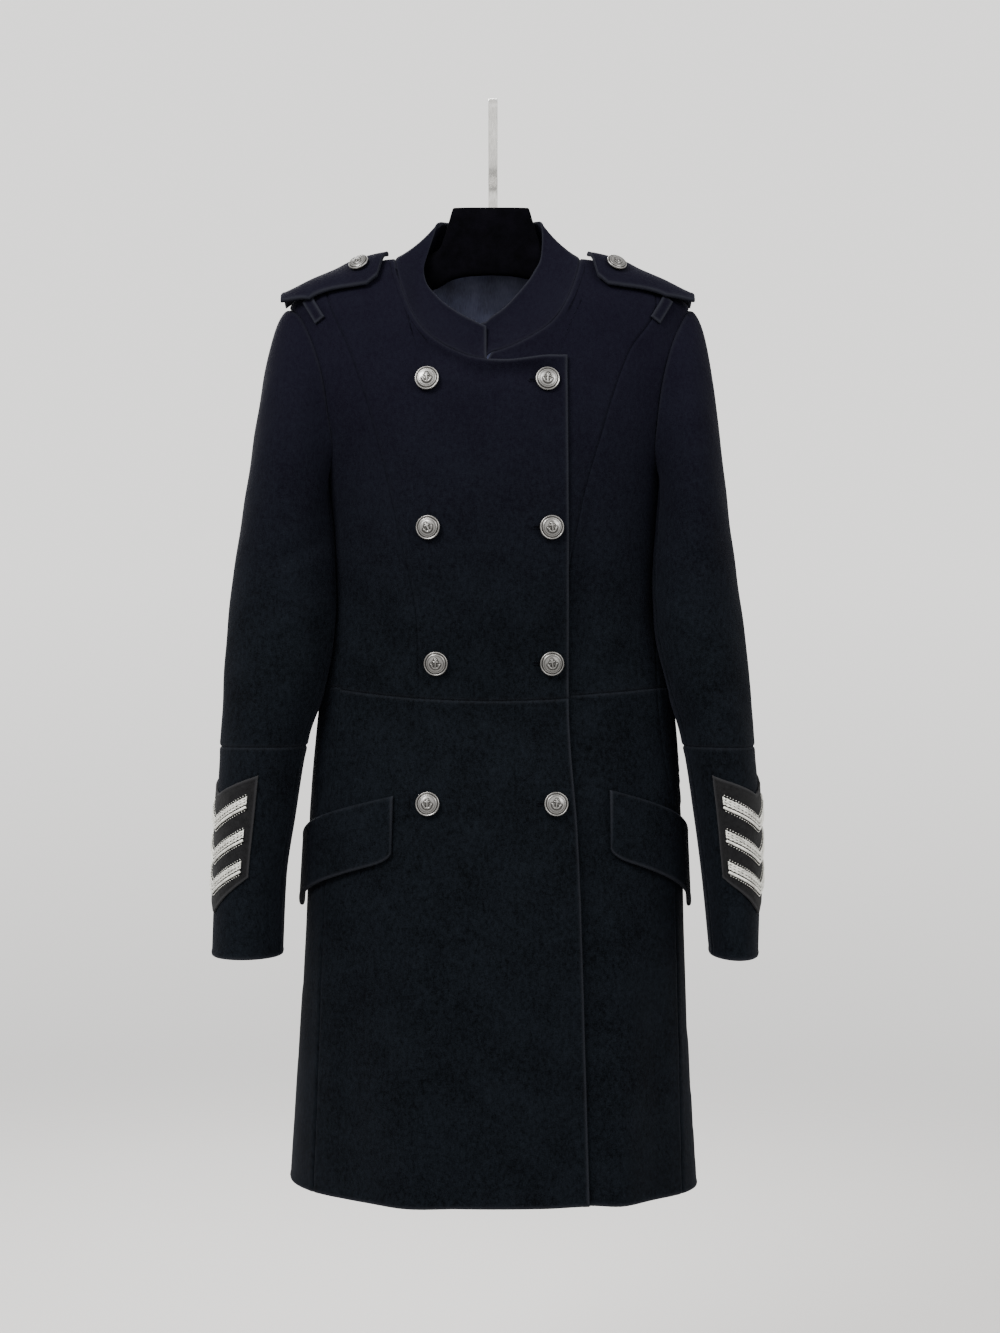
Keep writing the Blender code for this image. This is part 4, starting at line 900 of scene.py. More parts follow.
@dataclass(frozen=True)
class Melton:
    """Near-black navy wool, milled so that short fibres hide the weave."""

    deep: tuple[float, float, float] = (0.0001, 0.0003, 0.0006)
    raised: tuple[float, float, float] = (0.0030, 0.0042, 0.0060)
    # Lighter edge colour: wear, and a painted highlight along rolled edges and seam ridges.
    wear_and_highlight: tuple[float, float, float] = (0.0150, 0.0160, 0.0200)
    # Painted highlight: a lighter purple-navy for the top of the coat, standing for light falling on the
    # shoulders from above.
    shoulder: tuple[float, float, float] = (0.0026, 0.0018, 0.0058)
    wear_and_highlight_share: float = 0.50
    shoulder_highlight_span: tuple[float, float] = (-0.56, -0.20)
    shoulder_highlight_share: float = 0.60
    sheen_tint: tuple[float, float, float, float] = (0.40, 0.42, 0.60, 1.0)

    def material(self) -> bpy.types.Material:
        """The finish as a material."""
        sheet = NodeSheet("melton")
        nap = sheet.noise(900.0, 3.0, 0.65)
        felted = sheet.noise(300.0, 4.0, 0.65, (1.0, 1.0, 0.7))
        patchy = sheet.noise(24.0, 3.0, 0.55)
        value = sheet.weighted((nap, 0.42), (felted, 0.40), (patchy, 0.18))
        middle = tuple((a + b) / 2.0 for a, b in zip(self.deep, self.raised))
        colour = sheet.ramp(value, [(0.40, self.deep), (0.50, middle), (0.62, self.raised)])
        height = sheet.add("ShaderNodeSeparateXYZ")
        sheet.join(sheet.place, height.inputs["Vector"])
        # Painted highlight: with height the colour turns towards the lighter shoulder tint, as if the light
        # fell from above.
        high = sheet.eased(height.outputs["Z"], self.shoulder_highlight_span, (0.0, self.shoulder_highlight_share))
        colour = sheet.mix(high, colour, self.shoulder)
        # Lighter line of wear and painted highlight along seams and free edges.
        share = sheet.math("MULTIPLY", sheet.attribute("wear_and_highlight"), self.wear_and_highlight_share)
        sheet.colour(sheet.mix(share, colour, self.wear_and_highlight))
        sheet.set(
            Roughness=0.90,
            Sheen_Weight=0.016,
            Sheen_Roughness=0.5,
            Sheen_Tint=self.sheen_tint,
            Specular_IOR_Level=0.035,
        )
        sheet.bump(felted, 0.6, 0.0009)
        sheet.bump(nap, 0.7, 0.0005)
        return sheet.material


@dataclass(frozen=True)
class Felt:
    """Thin black felt with a dull, hairy surface."""

    deep: tuple[float, float, float] = (0.0008, 0.0008, 0.0010)
    raised: tuple[float, float, float] = (0.0066, 0.0066, 0.0072)
    # Lighter edge colour: wear, and a painted highlight along the patch's turned edges.
    wear_and_highlight: tuple[float, float, float] = (0.011, 0.011, 0.012)

    def material(self) -> bpy.types.Material:
        """The finish as a material."""
        sheet = NodeSheet("felt")
        fibres = sheet.noise(1500.0, 4.0, 0.7, (1.0, 1.0, 0.5))
        clumps = sheet.noise(210.0, 3.0, 0.6)
        value = sheet.weighted((fibres, 0.6), (clumps, 0.4))
        colour = sheet.ramp(value, [(0.35, self.deep), (0.68, self.raised)])
        sheet.colour(sheet.mix(sheet.attribute("wear_and_highlight"), colour, self.wear_and_highlight))
        sheet.set(Roughness=0.96, Sheen_Weight=0.03, Sheen_Roughness=0.6, Specular_IOR_Level=0.06)
        sheet.bump(clumps, 0.5, 0.0008)
        sheet.bump(fibres, 0.6, 0.0004)
        return sheet.material


@dataclass(frozen=True)
class SilverBraid:
    """Pale silver metal thread, wound over a soft core."""

    shade: tuple[float, float, float] = (0.10, 0.097, 0.09)
    bright: tuple[float, float, float] = (0.52, 0.515, 0.475)

    def material(self) -> bpy.types.Material:
        """The finish as a material."""
        sheet = NodeSheet("silver_braid")
        winding = sheet.noise(2600.0, 2.0, 0.5)
        tarnish = sheet.noise(190.0, 3.0, 0.6)
        value = sheet.weighted((winding, 0.4), (tarnish, 0.6))
        sheet.colour(sheet.ramp(value, [(0.30, self.shade), (0.52, self.bright)]))
        sheet.set(Metallic=0.30, Roughness=0.38, Specular_IOR_Level=0.6)
        sheet.bump(winding, 0.4, 0.0002)
        return sheet.material


@dataclass(frozen=True)
class Pewter:
    """Antiqued pewter plating: bright where it is raised, dark in its hollows."""

    bright: tuple[float, float, float] = (0.200, 0.196, 0.190)
    middle: tuple[float, float, float] = (0.085, 0.083, 0.079)
    dark: tuple[float, float, float] = (0.012, 0.011, 0.010)

    def material(self) -> bpy.types.Material:
        """The finish as a material."""
        sheet = NodeSheet("pewter")
        cloudy = sheet.noise(420.0, 4.0, 0.65)
        fine = sheet.noise(2300.0, 3.0, 0.6)
        hollow = sheet.attribute("hollow")
        share = sheet.math("ADD", hollow, sheet.math("MULTIPLY", cloudy, 0.35))
        sheet.colour(sheet.ramp(share, [(0.10, self.bright), (0.42, self.middle), (0.95, self.dark)]))
        sheet.rough(cloudy, 0.26, 0.44)
        sheet.set(Metallic=1.0)
        sheet.bump(fine, 0.25, 0.00015)
        return sheet.material


@dataclass(frozen=True)
class Satin:
    """Grey-blue satin lining."""

    shade: tuple[float, float, float] = (0.022, 0.025, 0.050)
    bright: tuple[float, float, float] = (0.088, 0.096, 0.165)

    def material(self) -> bpy.types.Material:
        """The finish as a material."""
        sheet = NodeSheet("lining")
        thread = sheet.noise(900.0, 2.0, 0.5, (3.0, 1.0, 0.15))
        soft = sheet.noise(38.0, 3.0, 0.55)
        value = sheet.weighted((thread, 0.45), (soft, 0.55))
        sheet.colour(sheet.ramp(value, [(0.34, self.shade), (0.66, self.bright)]))
        sheet.set(Roughness=0.48, Sheen_Weight=0.03, Specular_IOR_Level=0.18, Anisotropic=0.4)
        sheet.bump(thread, 0.25, 0.0002)
        return sheet.material


@dataclass(frozen=True)
class Velvet:
    """Black flock on the hanger."""

    deep: tuple[float, float, float] = (0.0003, 0.0003, 0.0005)
    raised: tuple[float, float, float] = (0.0016, 0.0014, 0.0024)

    def material(self) -> bpy.types.Material:
        """The finish as a material."""
        sheet = NodeSheet("velvet")
        flock = sheet.noise(1900.0, 3.0, 0.7)
        brushed = sheet.noise(75.0, 3.0, 0.6)
        value = sheet.weighted((flock, 0.5), (brushed, 0.5))
        sheet.colour(sheet.ramp(value, [(0.35, self.deep), (0.68, self.raised)]))
        sheet.set(
            Roughness=1.0,
            Sheen_Weight=0.008,
            Sheen_Roughness=0.35,
            Sheen_Tint=(0.35, 0.32, 0.48, 1.0),
            Specular_IOR_Level=0.02,
        )
        sheet.bump(flock, 0.6, 0.0004)
        return sheet.material


@dataclass(frozen=True)
class SatinSteel:
    """Plated steel strip, brushed along its length."""

    bright: tuple[float, float, float] = (0.74, 0.73, 0.70)
    shade: tuple[float, float, float] = (0.30, 0.30, 0.29)

    def material(self) -> bpy.types.Material:
        """The finish as a material."""
        sheet = NodeSheet("steel")
        brushed = sheet.noise(700.0, 3.0, 0.6, (6.0, 2.0, 0.2))
        smudge = sheet.noise(60.0, 3.0, 0.6)
        sheet.colour(sheet.ramp(brushed, [(0.3, self.shade), (0.7, self.bright)]))
        sheet.rough(smudge, 0.20, 0.34)
        sheet.set(Metallic=1.0)
        sheet.bump(brushed, 0.15, 0.0001)
        return sheet.material


@dataclass
class SeamLines:
    """Where the coat's seams and edges run on its body."""

    body: BodyForm
    princess: SmoothTable = smooth_rows(
        # height, right_x, left_x
        (-176.0, -163.0, 154.0),
        (-202.6, -155.9, 156.5),
        (-249.7, -135.5, 129.3),
        (-324.1, -111.0, 103.5),
        (-409.9, -90.1, 81.0),
        (-508.1, -70.6, 63.0),
        (-580.4, -68.7, 58.0),
    )
    side_seam: SmoothTable = smooth_rows(
        # height, right_x, left_x
        (-367.0, -165.8, 165.8),
        (-430.0, -153.0, 157.0),
        (-500.0, -148.0, 156.0),
        (-571.0, -146.0, 157.0),
        (-630.0, -150.0, 163.0),
        (-691.0, -156.0, 172.0),
        (-1050.0, -172.0, 181.0),
    )
    armhole: tuple[tuple[float, ...], ...] = (
        # height, right_front_x, left_front_x, right_back_x, left_back_x
        (-203.0, -197.0, 190.0, -197.0, 190.0),
        (-209.0, -189.0, 186.0, -190.0, 184.0),
        (-220.0, -181.0, 180.0, -184.0, 178.0),
        (-240.0, -172.0, 171.0, -176.0, 171.0),
        (-270.0, -162.5, 163.0, -169.0, 165.0),
        (-305.0, -157.0, 157.5, -164.0, 160.0),
        (-338.0, -153.0, 155.0, -160.0, 158.0),
        (-358.0, -157.0, 158.5, -161.0, 161.0),
        (-367.0, -166.0, 166.0, -166.0, 166.0),
    )
    closing_edge: SmoothTable = smooth_rows(
        # height, x
        (-255.0, 69.9),
        (-579.5, 70.7),
        (-719.0, 79.5),
        (-903.1, 85.5),
        (-1050.0, 90.0),
    )
    free_top: tuple[tuple[float, float], ...] = (
        (14.0, -260.8),
        (33.0, -258.6),
        (52.0, -255.8),
        (69.9, -255.4),
    )
    underlap_top: tuple[tuple[float, float], ...] = ((-9.0, -264.0), (-45.0, -266.0))
    shoulder_heights: tuple[float, ...] = (-176.0, -166.0, -159.5, -156.0, -154.0)
    shoulder_tip: float = -203.0
    waist_centre: float = -580.4
    waist_side: float = -567.8
    waist_half_width: float = 160.0
    underlap_waist_rise: float = 3.0
    underlap_x: float = -45.0
    hem: float = -1050.0

    def column(self, side: Side) -> int:
        """The column of a two-sided table."""
        return 0 if side is Side.RIGHT else 1

    def side_x(self, side: Side, z: np.ndarray) -> np.ndarray:
        """Where the form meets its own side at a height."""
        return self.body.section(z)[0 if side is Side.RIGHT else 1]

    def armhole_flat(self, side: Side, half: Half, steps: np.ndarray) -> np.ndarray:
        """The armhole seam as x and height.

        Args:
            side: The wearer's side.
            half: Front or back.
            steps: Places by row of the table, from 0 at the shoulder tip to 8 at the armpit.

        Returns:
            x and height.
        """
        column = 1 + self.column(side) + (2 if half is Half.BACK else 0)
        rows = [(float(i), row[column], row[0]) for i, row in enumerate(self.armhole)]
        return SmoothTable(rows).at(steps)

    def side_seam_flat(self, side: Side, z: np.ndarray, half: Half) -> np.ndarray:
        """The side seam as x and height, unrolled for the half that is asked for.

        Args:
            side: The wearer's side.
            z: Heights.
            half: The half to measure x on.

        Returns:
            x and height.
        """
        x = self.side_seam.at(z)[..., self.column(side)]
        turn = self.body.turn_of(x, z, Half.FRONT)
        return self.body.unrolled(turn, z, half)

    def outer_flat(self, side: Side, half: Half) -> np.ndarray:
        """The armhole and then the side seam, down to the waist.

        Args:
            side: The wearer's side.
            half: Front or back.

        Returns:
            x and height at close steps.
        """
        arm = self.armhole_flat(side, half, np.linspace(0.0, 8.0, 49))
        z = np.linspace(self.armhole[-1][0], self.waist_side, 51)[1:]
        return np.concatenate([arm, self.side_seam_flat(side, z, half)])

    def princess_flat(self, side: Side, share: np.ndarray, waist: float) -> np.ndarray:
        """The princess seam.

        Args:
            side: The wearer's side.
            share: How far down the bodice, from 0 to 1.
            waist: Height of its lower end.

        Returns:
            x and height.
        """
        outer_z = self.shoulder_tip + (self.waist_side - self.shoulder_tip) * share
        raise_top = (self.shoulder_heights[0] - self.shoulder_tip) * (1.0 - share) ** 2
        z = outer_z + raise_top + (waist - self.waist_side) * share
        x = self.princess.at(z)[..., self.column(side)]
        blend = smooth_step(share, 0.0, 0.03)
        return np.stack([self.side_x(side, z) * (1.0 - blend) + x * blend, z], axis=-1)

    def waist_flat(self, first: float, last: float, share: np.ndarray, rise: float) -> np.ndarray:
        """The waist seam across the front.

        Args:
            first: x at share 0.
            last: x at share 1.
            share: Places along it.
            rise: How much higher its centre is than on the right front.

        Returns:
            x and height.
        """
        x = first + (last - first) * share
        return np.stack([x, self.waist_height(x, rise)], axis=-1)

    def waist_height(self, x: np.ndarray, rise: float = 0.0) -> np.ndarray:
        """Height of the waist seam at x, lowest at the centre front.

        Args:
            x: Across the body.
            rise: How much higher its centre is than on the right front.

        Returns:
            The height.
        """
        centre = self.waist_centre + rise
        share = np.minimum(1.0, (x / self.waist_half_width) ** 2)
        return centre + (self.waist_side - centre) * share

    def waist_rise(self, side: Side) -> float:
        """How much higher a front's waist seam is than the right front's."""
        return 0.0 if side is Side.RIGHT else self.underlap_waist_rise

    def edge_waist(self, side: Side) -> float:
        """The height at which a front's free edge crosses the waist seam."""
        x = self.closing_edge.values[-2][0] if side is Side.RIGHT else self.underlap_x
        return float(self.waist_height(np.array(x), self.waist_rise(side)))

    def free_edge(self, side: Side, first_z: float, last_z: float, share: np.ndarray) -> np.ndarray:
        """A front's free edge between two heights.

        Args:
            side: The wearer's side.
            first_z: Height at share 0.
            last_z: Height at share 1.
            share: Places along it.

        Returns:
            x and height.
        """
        z = first_z + (last_z - first_z) * share
        x = self.closing_edge.at(z)[..., 0] if side is Side.RIGHT else np.full_like(z, self.underlap_x)
        return np.stack([x, z], axis=-1)

    def shoulder_flat(self, side: Side, heights: np.ndarray) -> np.ndarray:
        """The shoulder seam, which lies on the form's own side."""
        return np.stack([self.side_x(side, heights), heights], axis=-1)


def resampled(line: np.ndarray, share: np.ndarray, by_height: bool = False) -> np.ndarray:
    """Reads a line of close points at shares of its length, or of its drop.

    Args:
        line: Points of x and height.
        share: Places from 0 to 1.
        by_height: Whether shares count height and not length.

    Returns:
        Points at those places.
    """
    if by_height:
        along = (line[0, 1] - line[:, 1]) / (line[0, 1] - line[-1, 1])
    else:
        step = np.linalg.norm(np.diff(line, axis=0), axis=1)
        along = np.concatenate([[0.0], np.cumsum(step)])
        along = along / along[-1]
    return np.stack([np.interp(share, along, line[:, k]) for k in (0, 1)], axis=-1)


def filled(
    left: np.ndarray, right: np.ndarray, top: np.ndarray, bottom: np.ndarray,
    u: np.ndarray, v: np.ndarray,
) -> np.ndarray:
    """Fills four sides with a smooth grid.

    Args:
        left: Points down the left side.
        right: Points down the right side.
        top: Points along the top.
        bottom: Points along the bottom.
        u: Share across for each column.
        v: Share down for each row.

    Returns:
        The grid of x and height.
    """
    across = u[None, :, None]
    down = v[:, None, None]
    return (
        (1 - down) * top[None] + down * bottom[None]
        + (1 - across) * left[:, None] + across * right[:, None]
        - (1 - across) * (1 - down) * top[0] - across * (1 - down) * top[-1]
        - (1 - across) * down * bottom[0] - across * down * bottom[-1]
    )


@dataclass(frozen=True)
class NeckSeam:
    """One half of the collar: where it is sewn on and where its top edge runs."""

    side: Side
    rows: tuple[tuple, ...]
    tucked: tuple[tuple, ...] = ()
    shoulder_row: int = 3

    def with_tuck(self) -> "NeckSeam":
        """The seam with the rows that run on behind the other half of the collar."""
        return NeckSeam(self.side, self.rows + self.tucked)

    def flat(self, body: BodyForm, half: Half) -> SmoothTable:
        """The sewn edge on one half by number of row, as x and height.

        Args:
            body: The body's form.
            half: Front or back.

        Returns:
            The table of x and height.
        """
        table = []
        for number, (kind, x, z, *_top) in enumerate(self.rows):
            left, right = body.section(np.array(z))[:2]
            if number == 0:
                x = float(left + right) / 2.0
            elif kind == "ridge":
                x = float(left if self.side is Side.RIGHT else right)
            if kind in (half.value, "ridge"):
                table.append((float(number), x, z))
        return SmoothTable(table)

    def base(self, body: BodyForm, row: np.ndarray) -> tuple[np.ndarray, np.ndarray]:
        """Turn and height of the sewn edge at places between its rows.

        Args:
            body: The body's form.
            row: Places by number of row.

        Returns:
            Turn and height.
        """
        back = self.flat(body, Half.BACK).at(row)
        front = self.flat(body, Half.FRONT).at(row)
        behind = row < self.shoulder_row
        turn = np.where(
            behind,
            body.turn_of(back[..., 0], back[..., 1], Half.BACK),
            body.turn_of(front[..., 0], front[..., 1], Half.FRONT),
        )
        return turn, np.where(behind, back[..., 1], front[..., 1])

    def top(self, row: np.ndarray) -> np.ndarray:
        """Points of the top edge at places between its rows."""
        return SmoothTable([(float(i), *values[3:]) for i, values in enumerate(self.rows)]).at(row)


RIGHT_NECK = NeckSeam(
    Side.RIGHT,
    (
        # half or ridge, base_x, base_height, top_x, top_y, top_height
        ("back", -4.0, -147.0, -4.0, 36.0, -112.0),
        ("back", -45.0, -148.5, -28.0, 31.0, -112.0),
        ("back", -78.0, -151.5, -45.0, 18.0, -113.0),
        ("ridge", -91.0, -154.0, -52.5, 5.0, -115.5),
        ("front", -91.5, -170.0, -57.0, -6.0, -131.0),
        ("front", -86.2, -187.0, -62.0, -15.0, -150.0),
        ("front", -80.0, -204.5, -66.0, -23.0, -166.0),
        ("front", -71.2, -221.3, -63.5, -31.0, -180.0),
        ("front", -60.6, -234.3, -54.0, -38.0, -193.0),
        ("front", -49.1, -243.2, -41.0, -44.0, -205.0),
        ("front", -33.9, -251.4, -26.0, -49.5, -215.0),
        ("front", -19.7, -257.3, -15.5, -53.5, -221.0),
        ("front", -5.5, -260.1, -6.3, -56.5, -225.5),
    ),
)
LEFT_NECK = NeckSeam(
    Side.LEFT,
    (
        # half or ridge, base_x, base_height, top_x, top_y, top_height
        ("back", -4.0, -147.0, -4.0, 36.0, -112.0),
        ("back", 36.0, -148.5, 20.0, 31.0, -112.0),
        ("back", 69.0, -151.5, 38.0, 18.0, -113.0),
        ("ridge", 81.0, -154.0, 46.0, 5.0, -114.5),
        ("front", 80.5, -171.0, 47.0, -6.0, -132.0),
        ("front", 73.8, -191.2, 45.5, -15.0, -153.0),
        ("front", 65.0, -209.2, 38.5, -25.0, -170.0),
        ("front", 53.4, -223.6, 27.5, -34.0, -186.0),
        ("front", 38.1, -234.7, 16.5, -40.0, -199.0),
        ("front", 23.8, -242.6, 7.0, -45.0, -209.0),
        ("front", 9.6, -248.6, -1.0, -48.0, -215.0),
        ("front", -0.8, -251.4, -5.9, -50.0, -219.5),
    ),
    tucked=(("front", -10.5, -261.5, -13.5, -49.4, -222.5),),
)
NECKS = {Side.RIGHT: RIGHT_NECK, Side.LEFT: LEFT_NECK}


@dataclass
class Shell:
    """The body's cut pieces: bodice, skirt and the collar's two halves."""

    body: BodyForm
    seams: SeamLines
    shop: Workshop
    overlap: Overlap = field(default_factory=Overlap)
    spacing: float = 5.0
    facing_width: float = 80.0
    front_length: float = 390.0
    front_side_width: float = 75.0
    front_centre_width: float = 290.0
    back_length: float = 410.0
    back_width: float = 215.0
    skirt_length: float = 480.0
    skirt_front_width: float = 240.0
    skirt_back_width: float = 210.0
    collar_length: float = 235.0
    collar_height: float = 42.0
    collar_hollow: float = 12.0
    collar_cloth: tuple[float, float] = (2.5, 4.0)

    def lift(self, side: Side) -> object:
        """How far a front of this side lies above the form."""
        return self.overlap if side is Side.RIGHT else no_lift

    def placed(
        self, grid: np.ndarray, half: Half, lift: object
    ) -> tuple[np.ndarray, np.ndarray]:
        """Puts a flat grid on the form, with its creases.

        Args:
            grid: Unrolled x and height.
            half: The half that x is measured on.
            lift: Function that gives the rise above the form.

        Returns:
            Points and the ways out.
        """
        x, z = np.moveaxis(drawn_in(grid), -1, 0)
        turn = self.body.turn_of(x, z, half)
        points = self.body.smooth_point(turn, z)
        ways = self.body.normal(turn, z)
        rise = lift(points) + self.body.crease(points[..., 0], z, turn)
        return points + ways * rise[..., None], ways

    def panel(
        self,
        name: str,
        lines: tuple[np.ndarray, np.ndarray, np.ndarray, np.ndarray],
        u: np.ndarray,
        half: Half,
        side: Side,
        style: EdgeStyle,
        rests_on: list[str],
        lifted: bool = True,
    ) -> bpy.types.Object:
        """Builds one cut piece between its four lines.

        Args:
            name: The piece's and its solid's name.
            lines: Left, right, top and bottom lines.
            u: Share across of each column.
            half: The half it is unrolled on.
            side: The wearer's side.
            style: Its edges.
            rests_on: What holds it.
            lifted: Whether a right piece lies above the overlap.

        Returns:
            The piece.
        """
        left, right, top, bottom = lines
        v = (left[0, 1] - left[:, 1]) / (left[0, 1] - left[-1, 1])
        top = top.copy()
        bottom = bottom.copy()
        top[0], top[-1], bottom[0], bottom[-1] = left[0], right[0], left[-1], right[-1]
        grid = filled(left, right, top, bottom, u, v)
        points, ways = self.placed(grid, half, self.lift(side) if lifted else no_lift)
        return self.shop.cloth(
            name, points, ways, Wall(), style, [name], "hung", rests_on,
            [Slot.MELTON, Slot.LINING], self.facing_width,
        )

    def shares(self, length: float) -> np.ndarray:
        """Close steps across or down a panel of this length."""
        return shares_along(length, self.spacing)

    def front_top(self, side: Side, share: np.ndarray) -> tuple[np.ndarray, np.ndarray]:
        """The top line of a front centre: shoulder, neck and then its free or hidden edge.

        Args:
            side: The wearer's side.
            share: Places from 0 to 1, even by control point.

        Returns:
            x and height, and how free the edge is at each place.
        """
        neck = NECKS[side].flat(self.body, Half.FRONT)
        last = float(len(NECKS[side].rows) - 1)
        tail = self.seams.free_top if side is Side.RIGHT else self.seams.underlap_top
        neck_end = last + 1.0
        t = share * (neck_end + len(tail))
        ridge_z = np.interp(t, np.arange(5.0), self.seams.shoulder_heights)
        line = self.seams.shoulder_flat(side, ridge_z)
        line = np.where((t > 4.0)[:, None], neck.at(t - 1.0), line)
        rows = [(neck_end, *neck.at(np.array(last)))]
        rows += [(neck_end + 1.0 + i, *spot) for i, spot in enumerate(tail)]
        line = np.where((t > neck_end)[:, None], SmoothTable(rows).at(t), line)
        return line, smooth_step(t, neck_end - 0.3, neck_end + 0.3)

    def build_fronts(self) -> None:
        """The two front sides and the two front centres of the bodice."""
        seams = self.seams
        share = self.shares(self.front_length)
        for side in Side:
            rise = seams.waist_rise(side)
            princess_end = seams.princess.values[0][seams.column(side)]
            waist = float(seams.waist_height(np.array(princess_end), rise))
            princess = seams.princess_flat(side, share, waist)
            outer = resampled(seams.outer_flat(side, Half.FRONT), share, by_height=True)
            u = self.shares(self.front_side_width)
            shoulder, tip = seams.shoulder_heights[0], seams.shoulder_tip
            top = seams.shoulder_flat(side, shoulder + (tip - shoulder) * u)
            bottom = seams.waist_flat(princess_end, outer[-1, 0], u, rise)
            self.panel(
                f"{side.value}_front_side", (princess, outer, top, bottom), u, Half.FRONT, side,
                EdgeStyle(), ["hanger_body"],
            )

            u = self.shares(self.front_centre_width)
            top, free_top = self.front_top(side, u)
            v = (princess[0, 1] - princess[:, 1]) / (princess[0, 1] - princess[-1, 1])
            edge = seams.free_edge(side, top[-1, 1], seams.edge_waist(side), v)
            bottom = seams.waist_flat(princess_end, edge[-1, 0], u, rise)
            self.panel(
                f"{side.value}_front_centre", (princess, edge, top, bottom), u, Half.FRONT, side,
                EdgeStyle(right=1.0, top=free_top[None, :]), ["hanger_body"],
            )

    def build_backs(self) -> None:
        """The two backs of the bodice."""
        v = self.shares(self.back_length)
        for side in Side:
            outer = resampled(self.seams.outer_flat(side, Half.BACK), v, by_height=True)
            u = self.shares(self.back_width)
            t = u * 10.0
            top = NECKS[side].flat(self.body, Half.BACK).at(t)
            heights = (*reversed(self.seams.shoulder_heights), -185.0, -194.0, self.seams.shoulder_tip)
            ridge_z = np.interp(t, np.arange(3.0, 11.0), heights)
            top = np.where((t > 3.0)[:, None], self.seams.shoulder_flat(side, ridge_z), top)
            centre_z = top[0, 1] + (self.seams.waist_side - top[0, 1]) * v
            turn = np.full_like(centre_z, 180.0 * side.sign)
            centre = self.body.unrolled(turn, centre_z, Half.BACK)
            bottom = self.back_level(side, self.seams.waist_side, outer[-1], u)
            self.panel(
                f"{side.value}_back", (centre, outer, top, bottom), u, Half.BACK, side,
                EdgeStyle(), ["hanger_body"], lifted=False,
            )

    def back_level(self, side: Side, z: float, end: np.ndarray, u: np.ndarray) -> np.ndarray:
        """A level line over the back from the centre to a side seam, by even turns.

        Args:
            side: The wearer's side.
            z: Height.
            end: x and height of its end on the side seam.
            u: Shares along it.

        Returns:
            x and height.
        """
        height = np.full_like(u, z)
        end_turn = float(self.body.turn_of(end[:1], end[1:], Half.BACK)[0])
        centre_turn = 180.0 * side.sign
        return self.body.unrolled(centre_turn + (end_turn - centre_turn) * u, height, Half.BACK)

    def build_skirt(self) -> None:
        """The lower body: two fronts that lap and two backs."""
        seams = self.seams
        v = self.shares(self.skirt_length)
        for side in Side:
            side_z = seams.waist_side + (seams.hem - seams.waist_side) * v
            seam = seams.side_seam_flat(side, side_z, Half.FRONT)
            edge = seams.free_edge(side, seams.edge_waist(side), seams.hem, v)
            u = self.shares(self.skirt_front_width)
            top = seams.waist_flat(seam[0, 0], edge[0, 0], u, seams.waist_rise(side))
            hem_x = seam[-1, 0] + (edge[-1, 0] - seam[-1, 0]) * u
            bottom = np.stack([hem_x, np.full_like(u, seams.hem)], axis=-1)
            self.panel(
                f"{side.value}_front_skirt", (seam, edge, top, bottom), u, Half.FRONT, side,
                EdgeStyle(right=1.0, bottom=1.0),
                [f"{side.value}_front_centre", f"{side.value}_front_side"],
            )
            turn = np.full_like(side_z, 180.0 * side.sign)
            centre = self.body.unrolled(turn, side_z, Half.BACK)
            outer = seams.side_seam_flat(side, side_z, Half.BACK)
            u = self.shares(self.skirt_back_width)
            top = self.back_level(side, seams.waist_side, outer[0], u)
            bottom = self.back_level(side, seams.hem, outer[-1], u)
            self.panel(
                f"{side.value}_back_skirt", (centre, outer, top, bottom), u, Half.BACK, side,
                EdgeStyle(bottom=1.0), [f"{side.value}_back"], lifted=False,
            )

    def build_collar(self) -> None:
        """The stand collar's halves, each a wall that leans in from the neck seam."""
        for side in Side:
            seam = NECKS[side].with_tuck()
            rows = len(seam.rows) - 1
            along = self.shares(self.collar_length) * rows
            rise = 1.0 - self.shares(self.collar_height)
            turn, z = seam.base(self.body, along)
            base = self.body.smooth_point(turn, z)
            base_way = self.body.normal(turn, z)
            base = base + base_way * self.lift(side)(base)[:, None]
            top = seam.top(along)
            points = base[None] + (top - base)[None] * rise[:, None, None]
            ways = grid_ways(points, -side.sign)
            ways[:, 0, 0] = 0.0
            ways = unit(ways)
            wobble = 0.5 * np.sin(along * 1.7 + 0.6 * side.sign) + 0.35 * np.sin(along * 3.9 + 1.0)
            hollow = self.collar_hollow * rise * (1.0 - rise)
            depth = hollow[:, None] + wobble[None] * (rise * (1.0 - 0.4 * rise))[:, None]
            points = points - ways * depth[..., None]
            risen = smooth_step(rise, 0.0, 0.34)[:, None]
            ways = unit(ways * risen[..., None] + base_way[None] * (1.0 - risen[..., None]))
            thin, thick = self.collar_cloth
            thickness = thin + (thick - thin) * risen
            wall = Wall(thickness=thickness, roll=0.5, stitch_depth=0.45, stitch_distance=7.0)
            self.shop.cloth(
                f"{side.value}_collar", drawn_in(points, -0.1), ways, wall,
                EdgeStyle(right=1.0, top=1.0), [f"{side.value}_collar"], "stretched",
                [f"{side.value}_front_centre", f"{side.value}_back"], [Slot.MELTON],
            )


def grid_ways(points: np.ndarray, flip: float) -> np.ndarray:
    """The ways out of a grid of points, from its neighbours.

    Args:
        points: Grid whose rows run down and whose columns run round.
        flip: 1 or -1 to point out.

    Returns:
        Unit vectors.
    """
    around = np.gradient(points, axis=1)
    up = -np.gradient(points, axis=0)
    return unit(np.cross(unit(around), unit(up))) * flip


